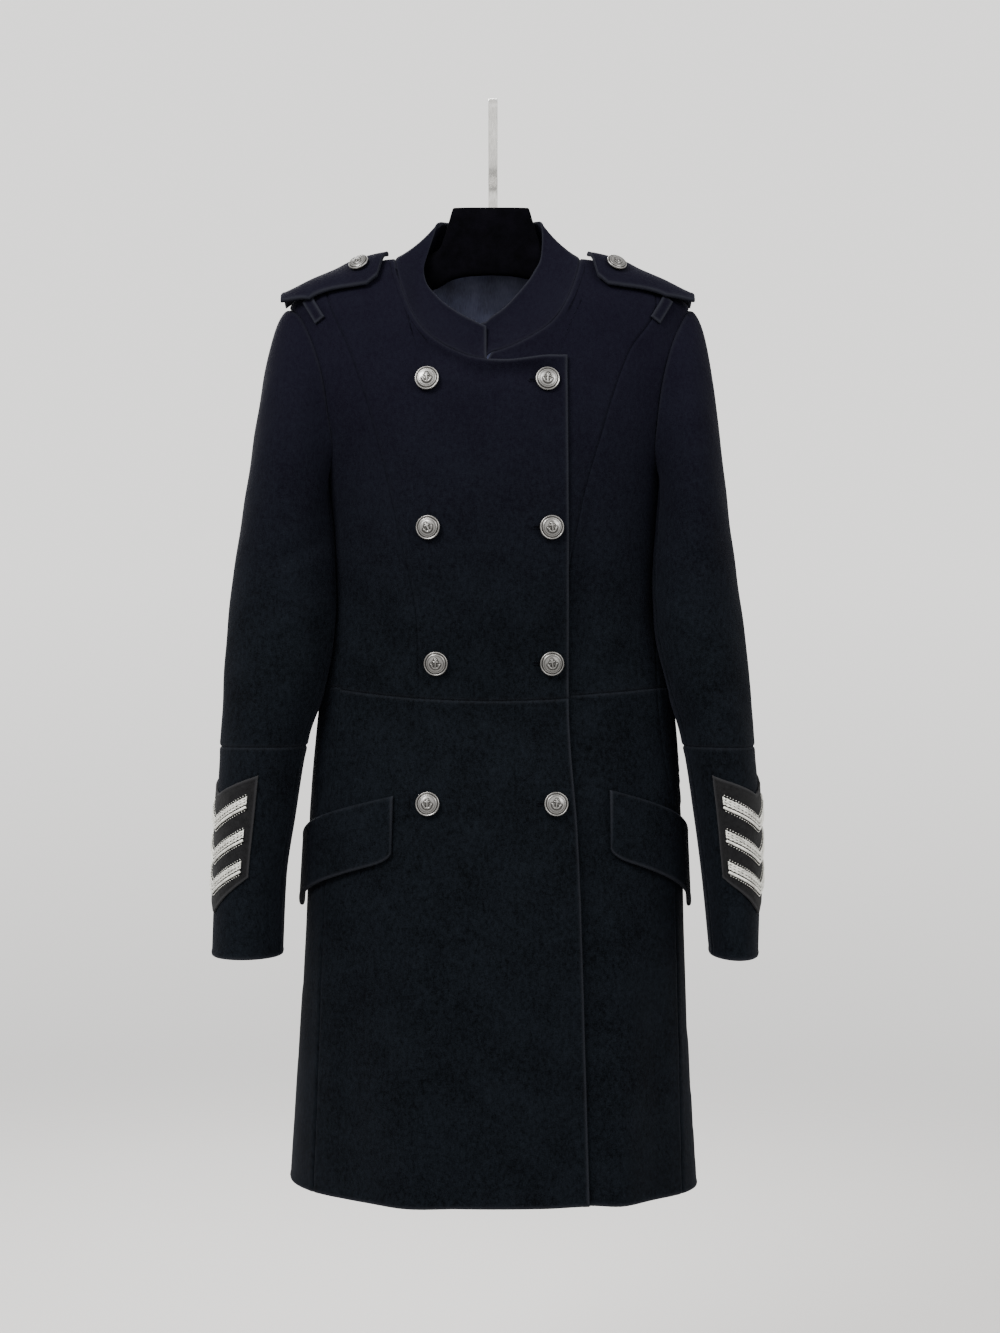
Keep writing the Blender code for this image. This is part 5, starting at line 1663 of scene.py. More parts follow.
@dataclass
class Sleeve:
    """A set-in sleeve of a top and an under piece, with a seam across the forearm."""

    side: Side
    body: BodyForm
    seams: SeamLines
    shop: Workshop
    sections: SmoothTable
    top_z: float = -400.0
    seam_z: float = -624.0
    hem_z: float = -822.0
    armpit_z: float = -367.0
    beside: float = -0.5
    tuck: float = 3.5
    front_seam: float = 7.0
    back_seam: float = 11.0
    columns: float = 16.0
    creases: tuple[Crease, ...] = (
        # angle round the sleeve, from 0 on its outer side to 90 on its front
        Crease((62.0, -458.0), (150.0, -424.0), 9.0, -2.0),
        Crease((74.0, -520.0), (150.0, -486.0), 9.0, 1.6),
        Crease((30.0, -560.0), (118.0, -590.0), 8.0, -1.3),
        Crease((48.0, -596.0), (140.0, -566.0), 7.0, 1.2),
        Crease((-60.0, -470.0), (-140.0, -430.0), 10.0, -1.8),
        Crease((-40.0, -560.0), (-130.0, -540.0), 9.0, 1.4),
        Crease((10.0, -470.0), (28.0, -600.0), 16.0, 0.9),
    )

    def tube(self, angle: np.ndarray, z: np.ndarray) -> np.ndarray:
        """A point of the sleeve below its cap.

        Args:
            angle: Degrees from the outer side towards the front.
            z: Height.

        Returns:
            Points.
        """
        outer_x, inner_x, middle_y, half_depth = np.moveaxis(self.sections.at(z), -1, 0)
        across = np.cos(np.radians(angle))
        forward = np.sin(np.radians(angle))
        x = (outer_x + inner_x) / 2.0 + (outer_x - inner_x) / 2.0 * across
        y = middle_y - half_depth * forward
        return self.kept_beside(np.stack([x, y, z + 0.0 * x], axis=-1))

    def kept_beside(self, points: np.ndarray) -> np.ndarray:
        """Moves points sideways where they come closer to the body than a sleeve may.

        Args:
            points: Points of the sleeve.

        Returns:
            The moved points.
        """
        x, y, z = np.moveaxis(points, -1, 0)
        left, right, front, back, left_mid, right_mid, square = self.body.section(z)
        middle = left_mid if self.side is Side.RIGHT else right_mid
        reach = depth_share(y, middle, front, back)
        across = np.maximum(0.0, 1.0 - np.abs(reach) ** square) ** (1.0 / square)
        sign = self.side.sign
        limit = (left + right) / 2.0 + sign * ((right - left) / 2.0 * across + self.beside)
        moved = np.minimum(x, limit) if self.side is Side.RIGHT else np.maximum(x, limit)
        return np.stack([np.where(z > self.armpit_z, x, moved), y, z], axis=-1)

    def armhole(self, k: np.ndarray) -> tuple[np.ndarray, np.ndarray]:
        """Turn and height on the armhole seam, k from 0 at the shoulder round to 16.

        Args:
            k: Place round the sleeve in sixteenths.

        Returns:
            Turn and height.
        """
        steps = np.where(k <= 8.0, k, self.columns - k)
        front = self.seams.armhole_flat(self.side, Half.FRONT, steps)
        back = self.seams.armhole_flat(self.side, Half.BACK, steps)
        turn = np.where(
            k <= 8.0,
            self.body.turn_of(front[..., 0], front[..., 1], Half.FRONT),
            self.body.turn_of(back[..., 0], back[..., 1], Half.BACK),
        )
        return turn, front[..., 1]

    def cap(self, k: np.ndarray, t: np.ndarray) -> np.ndarray:
        """A point between the armhole seam and the top of the tube.

        Args:
            k: Place round the sleeve in sixteenths.
            t: Share from the seam to the tube.

        Returns:
            Points.
        """
        turn, z = self.armhole(k)
        angle = 360.0 * k / self.columns
        inner = (1.0 - np.cos(np.radians(angle))) / 2.0
        seam_way = self.body.normal(turn, z)
        start = self.body.smooth_point(turn, z) + seam_way * (0.5 + 0.5 * inner)[..., None]
        start[..., 0] -= self.side.sign * self.tuck * inner**3
        end = self.tube(angle, np.full_like(angle, self.top_z))
        span = np.linalg.norm(end - start, axis=-1, keepdims=True)
        down = 0.15 + 1.2 * inner**4
        side_way = np.stack([np.full_like(down, self.side.sign * 0.8), 0.0 * down, -down], -1)
        leave = start + unit(seam_way * 0.55 + side_way) * span * 0.1
        below = self.tube(angle, np.full_like(angle, -450.0))
        arrive = end + unit(end - below) * span * 0.5
        t = t[..., None]
        point = start * (1 - t) ** 3 + leave * 3 * t * (1 - t) ** 2
        point = point + arrive * 3 * t * t * (1 - t) + end * t**3
        return np.where(t > 1e-6, self.kept_beside(point), point)

    def point(self, k: np.ndarray, row: np.ndarray) -> np.ndarray:
        """A point by place round and row: 0 to 1 the cap, to 2 the upper arm, to 3 the forearm.

        Args:
            k: Place round the sleeve in sixteenths.
            row: Place down the sleeve.

        Returns:
            Points.
        """
        k = np.mod(k, self.columns)
        angle = 360.0 * k / self.columns
        upper = self.top_z + (self.seam_z - self.top_z) * (row - 1.0)
        lower = self.seam_z + (self.hem_z - self.seam_z) * (row - 2.0)
        tube = self.tube(angle, np.where(row > 2.0, lower, upper))
        return np.where((row < 1.0)[..., None], self.cap(k, np.clip(row, 0.0, 1.0)), tube)

    def ways(self, k: np.ndarray, row: np.ndarray) -> np.ndarray:
        """The ways out, which blend to the body's own at the armhole seam.

        Args:
            k: Place round the sleeve in sixteenths.
            row: Place down the sleeve.

        Returns:
            Unit vectors.
        """
        around = self.point(k + 0.06, row) - self.point(k - 0.06, row)
        low = np.maximum(row - 0.012, 0.0)
        high = np.minimum(row + 0.012, 3.0)
        up = self.point(k, low) - self.point(k, high)
        own = unit(np.cross(unit(around), unit(up))) * -self.side.sign
        turn, z = self.armhole(np.mod(k, self.columns))
        seam_way = self.body.normal(turn, z)
        inner = (1.0 - np.cos(2.0 * np.pi * k / self.columns)) / 2.0
        keep = smooth_step(inner, 0.2, 0.9)
        share = np.clip(keep + smooth_step(row, 0.0, 0.12), 0.0, 1.0)[..., None]
        return unit(seam_way * (1.0 - share) + own * share)

    def build(self) -> None:
        """Builds the four pieces."""
        seam_rows = (0.0, 0.002, 0.005, 0.01, 0.018, 0.03, 0.045)
        cap_rows = np.concatenate([seam_rows, np.linspace(0.065, 1.0, 30)])
        upper = 1.0 + shares_along(224.0, 5.0)[7:]
        upper_rows = np.concatenate([cap_rows, upper[upper > 1.0]])
        fore_rows = 2.0 + shares_along(198.0, 5.0)
        spans = (
            ("top", self.back_seam - self.columns, self.front_seam, 185.0),
            ("under", self.front_seam, self.back_seam, 72.0),
        )
        for part, first, last, length in spans:
            k = first + (last - first) * shares_along(length, 4.5)
            for stretch, rows, bottom in (("upper", upper_rows, 0.0), ("forearm", fore_rows, 1.0)):
                name = f"{self.side.value}_sleeve_{stretch}_{part}"
                kk, rr = np.meshgrid(k, rows)
                points = self.point(kk, rr)
                ways = self.ways(kk, rr)
                angle = np.degrees(2.0 * np.pi * kk / self.columns)
                angle = (angle + 180.0) % 360.0 - 180.0
                z = points[..., 2]
                crease = sum(item.at(angle, z) for item in self.creases)
                calm = smooth_step(rr, 0.1, 0.6) * (1.0 - smooth_step(-z, 615.0, 640.0))
                wave = 0.35 * np.sin(angle / 17.0 + z / 23.0) * np.sin(z / 15.0 + 1.0)
                wave += 0.22 * np.sin(angle / 9.0 - z / 12.0 + self.side.sign)
                points = points + ways * ((crease + wave) * calm)[..., None]
                holder = [f"{self.side.value}_front_side", f"{self.side.value}_back"]
                if stretch == "forearm":
                    holder = [f"{self.side.value}_sleeve_upper_{part}"]
                self.shop.cloth(
                    name, drawn_in(points), ways, Wall(), EdgeStyle(bottom=bottom), [name],
                    "hung", holder, [Slot.MELTON, Slot.LINING], 25.0,
                )


RIGHT_SLEEVE = SmoothTable(
    [
        # height, outer_x, inner_x, middle_y, half_depth
        (-400.0, -241.5, -153.0, -8.0, 61.0),
        (-450.0, -249.0, -149.0, -11.0, 59.0),
        (-500.0, -254.0, -149.0, -14.0, 57.0),
        (-560.0, -258.0, -158.0, -18.0, 55.0),
        (-624.0, -261.3, -178.5, -22.0, 53.0),
        (-690.0, -264.2, -189.0, -27.0, 51.0),
        (-750.0, -265.8, -197.5, -31.0, 50.0),
        (-822.0, -267.7, -200.4, -35.0, 49.0),
    ]
)
LEFT_SLEEVE = SmoothTable(
    [
        # height, outer_x, inner_x, middle_y, half_depth
        (-400.0, 227.5, 156.0, -8.0, 64.0),
        (-450.0, 233.5, 152.0, -11.0, 62.0),
        (-500.0, 239.5, 153.0, -14.0, 60.0),
        (-560.0, 246.0, 164.0, -18.0, 58.0),
        (-624.0, 250.7, 182.5, -22.0, 56.0),
        (-690.0, 254.8, 192.5, -27.0, 55.0),
        (-750.0, 254.6, 200.0, -31.0, 54.0),
        (-822.0, 252.5, 206.8, -35.0, 54.0),
    ]
)
SLEEVES = {Side.RIGHT: RIGHT_SLEEVE, Side.LEFT: LEFT_SLEEVE}
PATCH_ANGLES = {Side.RIGHT: 30.0, Side.LEFT: 39.0}
FLAP_ENDS = {
    # front x, top and bottom, then rear turn, top and bottom
    Side.RIGHT: ((-92.1, -669.8, -730.5), (-101.0, -716.0, -785.0)),
    Side.LEFT: ((109.5, -664.2, -727.0), (99.0, -712.0, -785.0)),
}


def loft_faces(rings: int, sides: int) -> list[tuple[int, ...]]:
    """The faces of a closed loft whose rings of points follow each other.

    Args:
        rings: How many rings it has.
        sides: Points on each ring.

    Returns:
        The faces, with a cap at each end.
    """
    faces: list[tuple[int, ...]] = []
    for first in range(0, (rings - 1) * sides, sides):
        for k in range(sides):
            a, b = first + k, first + (k + 1) % sides
            faces.append((a, b, b + sides, a + sides))
    faces.append(tuple(range(sides))[::-1])
    faces.append(tuple(range((rings - 1) * sides, rings * sides)))
    return faces


def tube_mesh(
    path: np.ndarray, ways: np.ndarray, radius: np.ndarray, sides: int = 6
) -> tuple[np.ndarray, list[tuple[int, ...]]]:
    """A closed round cord along a path.

    Args:
        path: Points along its middle.
        ways: A direction across the path at each point.
        radius: Radius at each point.
        sides: Sides of its section.

    Returns:
        Points and faces.
    """
    along = unit(np.gradient(path, axis=0))
    up = unit(ways - along * np.sum(ways * along, axis=-1, keepdims=True))
    across = np.cross(along, up)
    angle = np.arange(sides) * 2.0 * np.pi / sides
    ring = up[:, None] * np.cos(angle)[None, :, None] + across[:, None] * np.sin(angle)[None, :, None]
    points = (path[:, None] + ring * np.broadcast_to(radius, len(path))[:, None, None]).reshape(-1, 3)
    return points, loft_faces(len(path), sides)


class Bundle:
    """Several closed shapes gathered into one mesh."""

    def __init__(self) -> None:
        """Starts empty."""
        self.points: list[np.ndarray] = []
        self.faces: list[tuple[int, ...]] = []
        self.slots: list[int] = []
        self.count = 0

    def add(self, points: np.ndarray, faces: list[tuple[int, ...]], slot: int = 0) -> None:
        """Adds a shape.

        Args:
            points: Its points.
            faces: Its faces.
            slot: Index of its finish.
        """
        self.points.append(points)
        self.faces += [tuple(i + self.count for i in face) for face in faces]
        self.slots += [slot] * len(faces)
        self.count += len(points)

    def add_bead(self, place: np.ndarray, radius: float) -> None:
        """Adds a small round bead."""
        self.add(BEAD_CORNERS * radius + place, BEAD_FACES)


def bead_shape() -> tuple[np.ndarray, list[tuple[int, ...]]]:
    """A bead with twenty faces.

    Returns:
        Its corners at radius 1, and its faces, which point out.
    """
    golden = (1.0 + 5.0**0.5) / 2.0
    corners = []
    for a in (-1.0, 1.0):
        for b in (-golden, golden):
            corners += [(0.0, a, b), (a, b, 0.0), (b, 0.0, a)]
    corners = np.array(corners)
    faces = []
    for i, j, k in combinations(range(len(corners)), 3):
        sides = [np.linalg.norm(corners[a] - corners[b]) for a, b in ((i, j), (j, k), (i, k))]
        if max(sides) < 2.01:
            way = np.cross(corners[j] - corners[i], corners[k] - corners[i])
            faces.append((i, j, k) if np.dot(way, corners[i]) > 0.0 else (i, k, j))
    return unit(corners), faces


BEAD_CORNERS, BEAD_FACES = bead_shape()


@dataclass
class RankPatch:
    """The felt patch on a sleeve with its three raised chevrons."""

    sleeve: Sleeve
    middle_angle: float
    level: float = -715.0
    half_width: float = 46.0
    top: tuple[float, float] = (-669.0, -650.0)
    bottom: tuple[float, float] = (-781.0, -745.0)
    chevron_points: tuple[float, ...] = (-696.5, -727.5, -756.5)
    chevron_half_width: float = 39.0
    chevron_rise: float = 23.0
    felt_top: float = 2.1
    walk_steps: int = 16

    def angle(self, distance: np.ndarray) -> np.ndarray:
        """The sleeve angle at a distance along the cloth from the patch's middle.

        Args:
            distance: Distance in millimetres.

        Returns:
            The angle in degrees.
        """
        angle = np.full_like(distance, self.middle_angle)
        level = np.full_like(distance, self.level)
        for _step in range(self.walk_steps):
            ahead = self.sleeve.tube(angle + 1.0, level) - self.sleeve.tube(angle, level)
            angle = angle + distance / self.walk_steps / np.linalg.norm(ahead, axis=-1)
        return angle

    def on(self, distance: np.ndarray, z: np.ndarray, rise: np.ndarray) -> np.ndarray:
        """A point above the sleeve's face.

        Args:
            distance: Along the cloth from the patch's middle.
            z: Height.
            rise: Distance from the sleeve.

        Returns:
            Points.
        """
        angle = self.angle(distance)
        return self.sleeve.tube(angle, z) + self.way(angle, z) * np.asarray(rise)[..., None]

    def way(self, angle: np.ndarray, z: np.ndarray) -> np.ndarray:
        """The way out of the sleeve's face.

        Args:
            angle: Degrees round the sleeve.
            z: Height.

        Returns:
            Unit vectors.
        """
        around = self.sleeve.tube(angle + 1.0, z) - self.sleeve.tube(angle - 1.0, z)
        up = self.sleeve.tube(angle, z + 1.0) - self.sleeve.tube(angle, z - 1.0)
        return unit(np.cross(around, up)) * -self.sleeve.side.sign

    def build(self) -> None:
        """Builds the patch and its chevrons."""
        self.build_felt()
        for number, level in enumerate(self.chevron_points, 1):
            self.build_chevron(number, level)

    def build_felt(self) -> None:
        """The felt ground, with a stitched line near its edge."""
        name = f"{self.sleeve.side.value}_patch"
        across = (shares_along(92.0, 2.6) * 2.0 - 1.0) * self.half_width
        down = shares_along(105.0, 2.6)
        share = np.sqrt((across / self.half_width) ** 2 + 0.0004)
        top = self.top[0] + (self.top[1] - self.top[0]) * share
        bottom = self.bottom[0] + (self.bottom[1] - self.bottom[0]) * share
        z = top[None] + (bottom - top)[None] * down[:, None]
        distance = np.broadcast_to(across[None], z.shape)
        points = self.on(distance, z, np.full_like(z, self.felt_top))
        ways = self.way(self.angle(distance), z)
        bumps = 0.12 * np.sin(distance / 5.0 + z / 7.0) + 0.10 * np.sin(distance / 2.9 - z / 4.1)
        points = points + ways * bumps[..., None]
        wall = Wall(thickness=1.9, roll=0.15, stitch_depth=0.75, stitch_distance=3.6, stitch_half_width=0.7)
        self.sleeve.shop.cloth(
            name, points, ways, wall, EdgeStyle(1.0, 1.0, 1.0, 1.0), [name], "stretched",
            [f"{self.sleeve.side.value}_sleeve_forearm_top"], [Slot.FELT],
        )

    def build_chevron(self, number: int, level: float) -> None:
        """One chevron of plaited silver cord with a bright edge cord and beads.

        Args:
            number: Its place from the top.
            level: Height of its point, at the middle of its band.
        """
        bundle = Bundle()
        steps = np.arange(-self.chevron_half_width, self.chevron_half_width + 0.4, 0.8)
        bend = np.sqrt(steps**2 + 4.0) - 2.0
        line = level + self.chevron_rise * bend / self.chevron_half_width
        low = self.felt_top
        for offset in (-3.1, 3.1):
            height = line + offset
            pair = self.on(steps, height, np.full_like(steps, low + 0.5))
            ways = self.way(self.angle(steps), height)
            bundle.add(*flat_strip(pair, ways, 5.6, 0.7), 1)
        for lane, twist in ((4.3, 1.0), (1.8, -1.0), (-0.7, 1.0)):
            for phase in (0.0, np.pi):
                turn = steps * 2.0 * np.pi / 6.4 * twist + phase
                height = line + lane + 0.72 * np.cos(turn)
                rise = low + 1.25 + 0.55 * np.sin(turn)
                path = self.on(steps, height, rise)
                ways = self.way(self.angle(steps), height)
                bundle.add(*tube_mesh(path, ways, np.full(len(path), 0.62), 6), 0)
        height = line - 4.5
        path = self.on(steps, height, np.full_like(steps, low + 1.25))
        bundle.add(*tube_mesh(path, self.way(self.angle(steps), height), np.full(len(path), 1.25), 8), 0)
        for lane in (7.3, -7.4):
            beads = np.arange(-self.chevron_half_width + 1.0, self.chevron_half_width, 2.15)
            rise_line = level + self.chevron_rise * (np.sqrt(beads**2 + 4.0) - 2.0) / self.chevron_half_width
            for place in self.on(beads, rise_line + lane, np.full_like(beads, low + 0.35)):
                bundle.add_bead(place, 0.55)
        name = f"{self.sleeve.side.value}_chevron_{number}"
        self.sleeve.shop.mesh_piece(
            name, np.concatenate(bundle.points), bundle.faces, [Slot.SILVER_BRAID, Slot.FELT], [name],
            np.array(bundle.slots),
        )


def flat_strip(
    path: np.ndarray, ways: np.ndarray, width: float, thickness: float
) -> tuple[np.ndarray, list[tuple[int, ...]]]:
    """A flat ribbon along a path.

    Args:
        path: Points along its middle.
        ways: The way out of its face.
        width: Its width.
        thickness: Its thickness.

    Returns:
        Points and faces.
    """
    along = unit(np.gradient(path, axis=0))
    across = unit(np.cross(along, ways))
    corners = []
    for side, rise in ((-0.5, -0.5), (0.5, -0.5), (0.5, 0.5), (-0.5, 0.5)):
        corners.append(path + across * width * side + ways * thickness * rise)
    points = np.stack(corners, axis=1).reshape(-1, 3)
    return points, loft_faces(len(path), len(corners))


@dataclass
class PocketFlap:
    """A slanted pocket flap, sewn along its top edge."""

    side: Side
    shell: Shell
    front: tuple[float, float, float]
    rear: tuple[float, float, float]
    corner: float = 8.0
    cloth: float = 4.0

    def build(self) -> None:
        """Builds the flap with rounded lower corners and a stitched edge."""
        body = self.shell.body
        front_x, front_top, front_bottom = self.front
        rear_turn, rear_top, rear_bottom = self.rear
        front_turn = float(body.turn_of(np.array(front_x), np.array(front_top), Half.FRONT))
        length = 92.0
        along = shares_along(length, 3.2)
        share = shares_along(66.0, 3.2)
        turn = front_turn + (rear_turn - front_turn) * along
        top = front_top + (rear_top - front_top) * along
        bottom = front_bottom + (rear_bottom - front_bottom) * along
        for distance in (along * length, (1.0 - along) * length):
            near = np.clip(self.corner - distance, 0.0, self.corner)
            bottom = bottom + self.corner - np.sqrt(np.maximum(self.corner**2 - near**2, 0.0))
        z = top[None] + (bottom - top)[None] * share[:, None]
        turns = np.broadcast_to(turn[None], z.shape)
        points = body.smooth_point(turns, z)
        ways = body.normal(turns, z)
        lift = self.shell.lift(self.side)(points)
        lift_share = 0.3 + 0.7 * share[:, None]
        gap = 0.7 + 5.0 * along[None] ** 2 * lift_share + 0.5 * np.sin(along[None] * 5.0) * share[:, None]
        crease = np.maximum(body.crease(points[..., 0], z, turns), 0.0)
        points = points + ways * (lift + gap + crease * 0.6 + self.cloth)[..., None]
        name = f"{self.side.value}_pocket_flap"
        wall = Wall(thickness=self.cloth, roll=0.35, stitch_depth=0.5, stitch_distance=7.0, seam_depth=1.3)
        self.shell.shop.cloth(
            name, points, ways, wall, EdgeStyle(1.0, 1.0, 0.0, 1.0), [name], "hung",
            [f"{self.side.value}_front_skirt"], [Slot.MELTON],
        )


@dataclass
class Shoulder:
    """A shoulder strap with its button, and the carrier tab below it."""

    side: Side
    body: BodyForm
    shop: Workshop
    middle_x: float = -5.0
    stations: tuple[tuple[float, ...], ...] = (
        # from_middle, front_y, back_y, gap
        (196.0, -22.0, 20.0, 5.0),
        (186.0, -25.0, 18.0, 4.2),
        (170.0, -30.0, 15.0, 4.0),
        (150.0, -34.0, 12.0, 3.3),
        (130.0, -38.0, 9.0, 2.4),
        (114.0, -40.5, 6.0, 2.6),
        (104.0, -38.0, 0.0, 3.4),
        (99.5, -27.5, -5.0, 3.6),
        (95.0, -16.0, -10.0, 3.2),
    )
    station_spots: tuple[float, ...] = (0.0, 10.0, 26.0, 46.0, 66.0, 82.0, 93.0, 104.0, 112.0)
    free_from_middle: float = 168.0
    free_slope: float = -0.53
    search: tuple[float, float] = (-150.0, -320.0)
    halvings: int = 34
    strap_cloth: float = 4.0
    tab_line: tuple[tuple[float, float], ...] = (
        (172.0, -197.0),
        (168.0, -203.5),
        (163.5, -211.0),
        (159.0, -218.5),
    )
    tab_width: float = 11.6
    button_spot: tuple[float, float] = (120.5, -24.0)

    def face_height(self, x: np.ndarray, y: np.ndarray) -> np.ndarray:
        """The height of the shoulder's face above a place, found by halving.

        Args:
            x: Across the body.
            y: From front to back.

        Returns:
            The height.
        """
        high = np.full_like(x, self.search[0])
        low = np.full_like(x, self.search[1])
        for _step in range(self.halvings):
            z = (high + low) / 2.0
            left, right, front, back, left_mid, right_mid, square = self.body.section(z)
            across = (x - (left + right) / 2.0) / ((right - left) / 2.0)
            middle = np.where(across < 0.0, left_mid, right_mid)
            along = depth_share(y, middle, front, back)
            outside = np.abs(across) ** square + np.abs(along) ** square > 1.0
            high = np.where(outside, z, high)
            low = np.where(outside, low, z)
        return (high + low) / 2.0

    def place(self, away: np.ndarray, y: np.ndarray) -> np.ndarray:
        """A point on the shoulder, carried on straight past the armhole.

        Args:
            away: Distance from the coat's middle.
            y: From front to back.

        Returns:
            The point.
        """
        inside = np.minimum(away, self.free_from_middle)
        height = self.face_height(self.middle_x + self.side.sign * inside, y)
        height = height + self.free_slope * (away - inside)
        return np.stack([self.middle_x + self.side.sign * away, y, height], axis=-1)

    def way(self, away: np.ndarray, y: np.ndarray) -> np.ndarray:
        """The way out of the shoulder.

        Args:
            away: Distance from the coat's middle.
            y: From front to back.

        Returns:
            Unit vectors.
        """
        across = self.place(away - 1.0, y) - self.place(away + 1.0, y)
        back = self.place(away, y + 1.0) - self.place(away, y - 1.0)
        way = unit(np.cross(across, back))
        return way * np.where(way[..., 2:] > 0.0, 1.0, -1.0)

    def build(self) -> None:
        """Builds the strap and the tab."""
        name = f"{self.side.value}_epaulette"
        table = np.array(self.stations)
        spots = np.array(self.station_spots)
        length = spots[-1]
        row = np.interp(shares_along(length, 2.6), spots / length, np.arange(9.0))
        away, front, back, gap = (np.interp(row, np.arange(9.0), table[:, k]) for k in range(4))
        across = shares_along(44.0, 2.6)
        y = front[:, None] + (back - front)[:, None] * across[None]
        reach = np.broadcast_to(away[:, None], y.shape)
        ways = self.way(reach, y)
        points = self.place(reach, y) + ways * (gap[:, None] + self.strap_cloth)[..., None]
        wall = Wall(thickness=self.strap_cloth, roll=0.35, stitch_depth=0.5, stitch_distance=5.5)
        self.shop.cloth(
            name, points, ways, wall, EdgeStyle(1.0, 1.0, 1.0, 1.0), [name], "stretched",
            [f"{self.side.value}_front_centre", f"{self.side.value}_back"], [Slot.MELTON],
        )
        self.build_tab()

    def build_tab(self) -> None:
        """The short carrier tab on the front of the shoulder."""
        name = f"{self.side.value}_epaulette_tab"
        table = np.array(self.tab_line)
        row = shares_along(26.0, 2.2) * 3.0
        away, z = (np.interp(row, np.arange(4.0), table[:, k]) for k in (0, 1))
        x = self.middle_x + self.side.sign * away
        turn = self.body.turn_of(x, z, Half.FRONT)
        centre = self.body.smooth_point(turn, z)
        ways = self.body.normal(turn, z)
        along = np.gradient(centre, axis=0)
        across = unit(np.cross(along, ways))
        share = (shares_along(self.tab_width, 2.0) - 0.5) * self.tab_width
        points = centre[:, None] - across[:, None] * share[None, :, None]
        points = points + ways[:, None] * (0.9 + 2.0)
        wall = Wall(thickness=2.0, roll=0.3, stitch_depth=0.3, stitch_distance=2.8)
        self.shop.cloth(
            name, points, np.broadcast_to(ways[:, None], points.shape), wall,
            EdgeStyle(1.0, 1.0, 1.0, 1.0), [name], "stretched",
            [f"{self.side.value}_front_side"], [Slot.MELTON],
        )

    def button(self) -> tuple[np.ndarray, np.ndarray]:
        """Where the shoulder button sits and its way out."""
        away, y = (np.array(value) for value in self.button_spot)
        way = self.way(away, y)
        gap = SmoothTable([(row[0], row[3]) for row in self.stations]).at(away)[0]
        return self.place(away, y) + way * (gap + self.strap_cloth + 0.3), way


@dataclass
class MetalButton:
    """A domed metal button with a rim, a rope ring and an anchor in relief."""

    name: str
    place: np.ndarray
    way: np.ndarray
    diameter: float
    tilt: float
    shop: Workshop
    rings: int = 34
    sectors: int = 72

    def relief(self, u: np.ndarray, v: np.ndarray) -> tuple[np.ndarray, np.ndarray]:
        """The relief's height and how dark its hollows are.

        Args:
            u: Across the face, in radii.
            v: Up the face, in radii.

        Returns:
            Height in radii, and the hollow share.
        """
        r = np.hypot(u, v)
        angle = np.arctan2(v, u)
        rim = 0.055 * smooth_step(r, 0.86, 0.91) * (1.0 - smooth_step(r, 0.965, 1.0))
        rope = 0.045 * bell(r - 0.74, 0.055) * (0.72 + 0.28 * np.sin(angle * 30.0 + r * 40.0))
        ring = 0.02 * bell(r - 0.63, 0.018)
        parts = [
            segment_distance(u, v, (0.0, -0.36), (0.0, 0.26), 0.045),
            segment_distance(u, v, (-0.17, 0.16), (0.17, 0.16), 0.036),
            np.abs(np.hypot(u, v - 0.33) - 0.075) - 0.026,
            np.where(v < -0.10, np.abs(np.hypot(u, v + 0.05) - 0.33) - 0.042, 1.0),
            segment_distance(u, v, (-0.36, -0.05), (-0.27, -0.19), 0.05),
            segment_distance(u, v, (0.36, -0.05), (0.27, -0.19), 0.05),
        ]
        away = np.minimum.reduce(parts)
        anchor = 0.05 * (1.0 - smooth_step(away, -0.02, 0.045))
        hollow = bell(r - 0.83, 0.04) * 0.9 + bell(r - 0.665, 0.02) * 0.6
        hollow += 0.75 * bell(away - 0.055, 0.04) * (r < 0.6)
        return rim + rope + ring + anchor, np.clip(hollow, 0.0, 1.0)

    def build(self) -> None:
        """Builds the button as one closed turned shape with its face in relief."""
        radius = np.linspace(0.0, 1.0, self.rings) ** 0.92
        angle = np.arange(self.sectors) * 2.0 * np.pi / self.sectors
        rr, aa = np.meshgrid(radius[1:], angle, indexing="ij")
        u, v = rr * np.cos(aa), rr * np.sin(aa)
        relief, hollow = self.relief(u, v)
        dome = 0.36 + 0.215 * np.maximum(0.0, 1.0 - (rr / 0.88) ** 2) ** 0.8
        dome = dome - 0.05 * smooth_step(rr, 0.95, 1.0)
        top = np.stack([u, v, dome + relief * 0.9], axis=-1)
        back = []
        for reach, height in ((1.0, 0.25), (0.93, 0.18), (0.27, 0.17), (0.26, 0.02)):
            ring = [reach * np.cos(angle), reach * np.sin(angle), np.full_like(angle, height)]
            back.append(np.stack(ring, axis=-1))
        tip_relief = self.relief(np.zeros(1), np.zeros(1))[0][0] * 0.9
        tip = [[0.0, 0.0, 0.575 + tip_relief]]
        points = np.concatenate([tip, top.reshape(-1, 3), *back, [[0.0, 0.0, 0.02]]])
        # The rim's side and the underside take fixed dark shares of 0.6 and 0.9, apart from the face's
        # relief.
        shade = np.concatenate([[0.0], hollow.ravel(), np.repeat([0.6, 0.9, 0.9, 0.9], self.sectors), [0.9]])
        faces: list[tuple[int, ...]] = []
        total_rings = len(radius) - 1 + len(back)
        for k in range(self.sectors):
            after = (k + 1) % self.sectors
            faces.append((0, 1 + k, 1 + after))
            for j in range(total_rings - 1):
                a, b = 1 + j * self.sectors + k, 1 + j * self.sectors + after
                faces.append((a, a + self.sectors, b + self.sectors, b))
            last = 1 + (total_rings - 1) * self.sectors
            faces.append((last + k, len(points) - 1, last + after))
        quat = Vector(self.way).to_track_quat("Z", "Y")
        turn = np.array((quat.to_matrix() @ Matrix.Rotation(self.tilt, 3, "Z")))
        scaled = points * self.diameter / 2.0
        placed = scaled @ turn.T + self.place
        self.shop.mesh_piece(
            self.name, placed, faces, [Slot.BUTTON_METAL], [self.name], None, {"hollow": shade}
        )


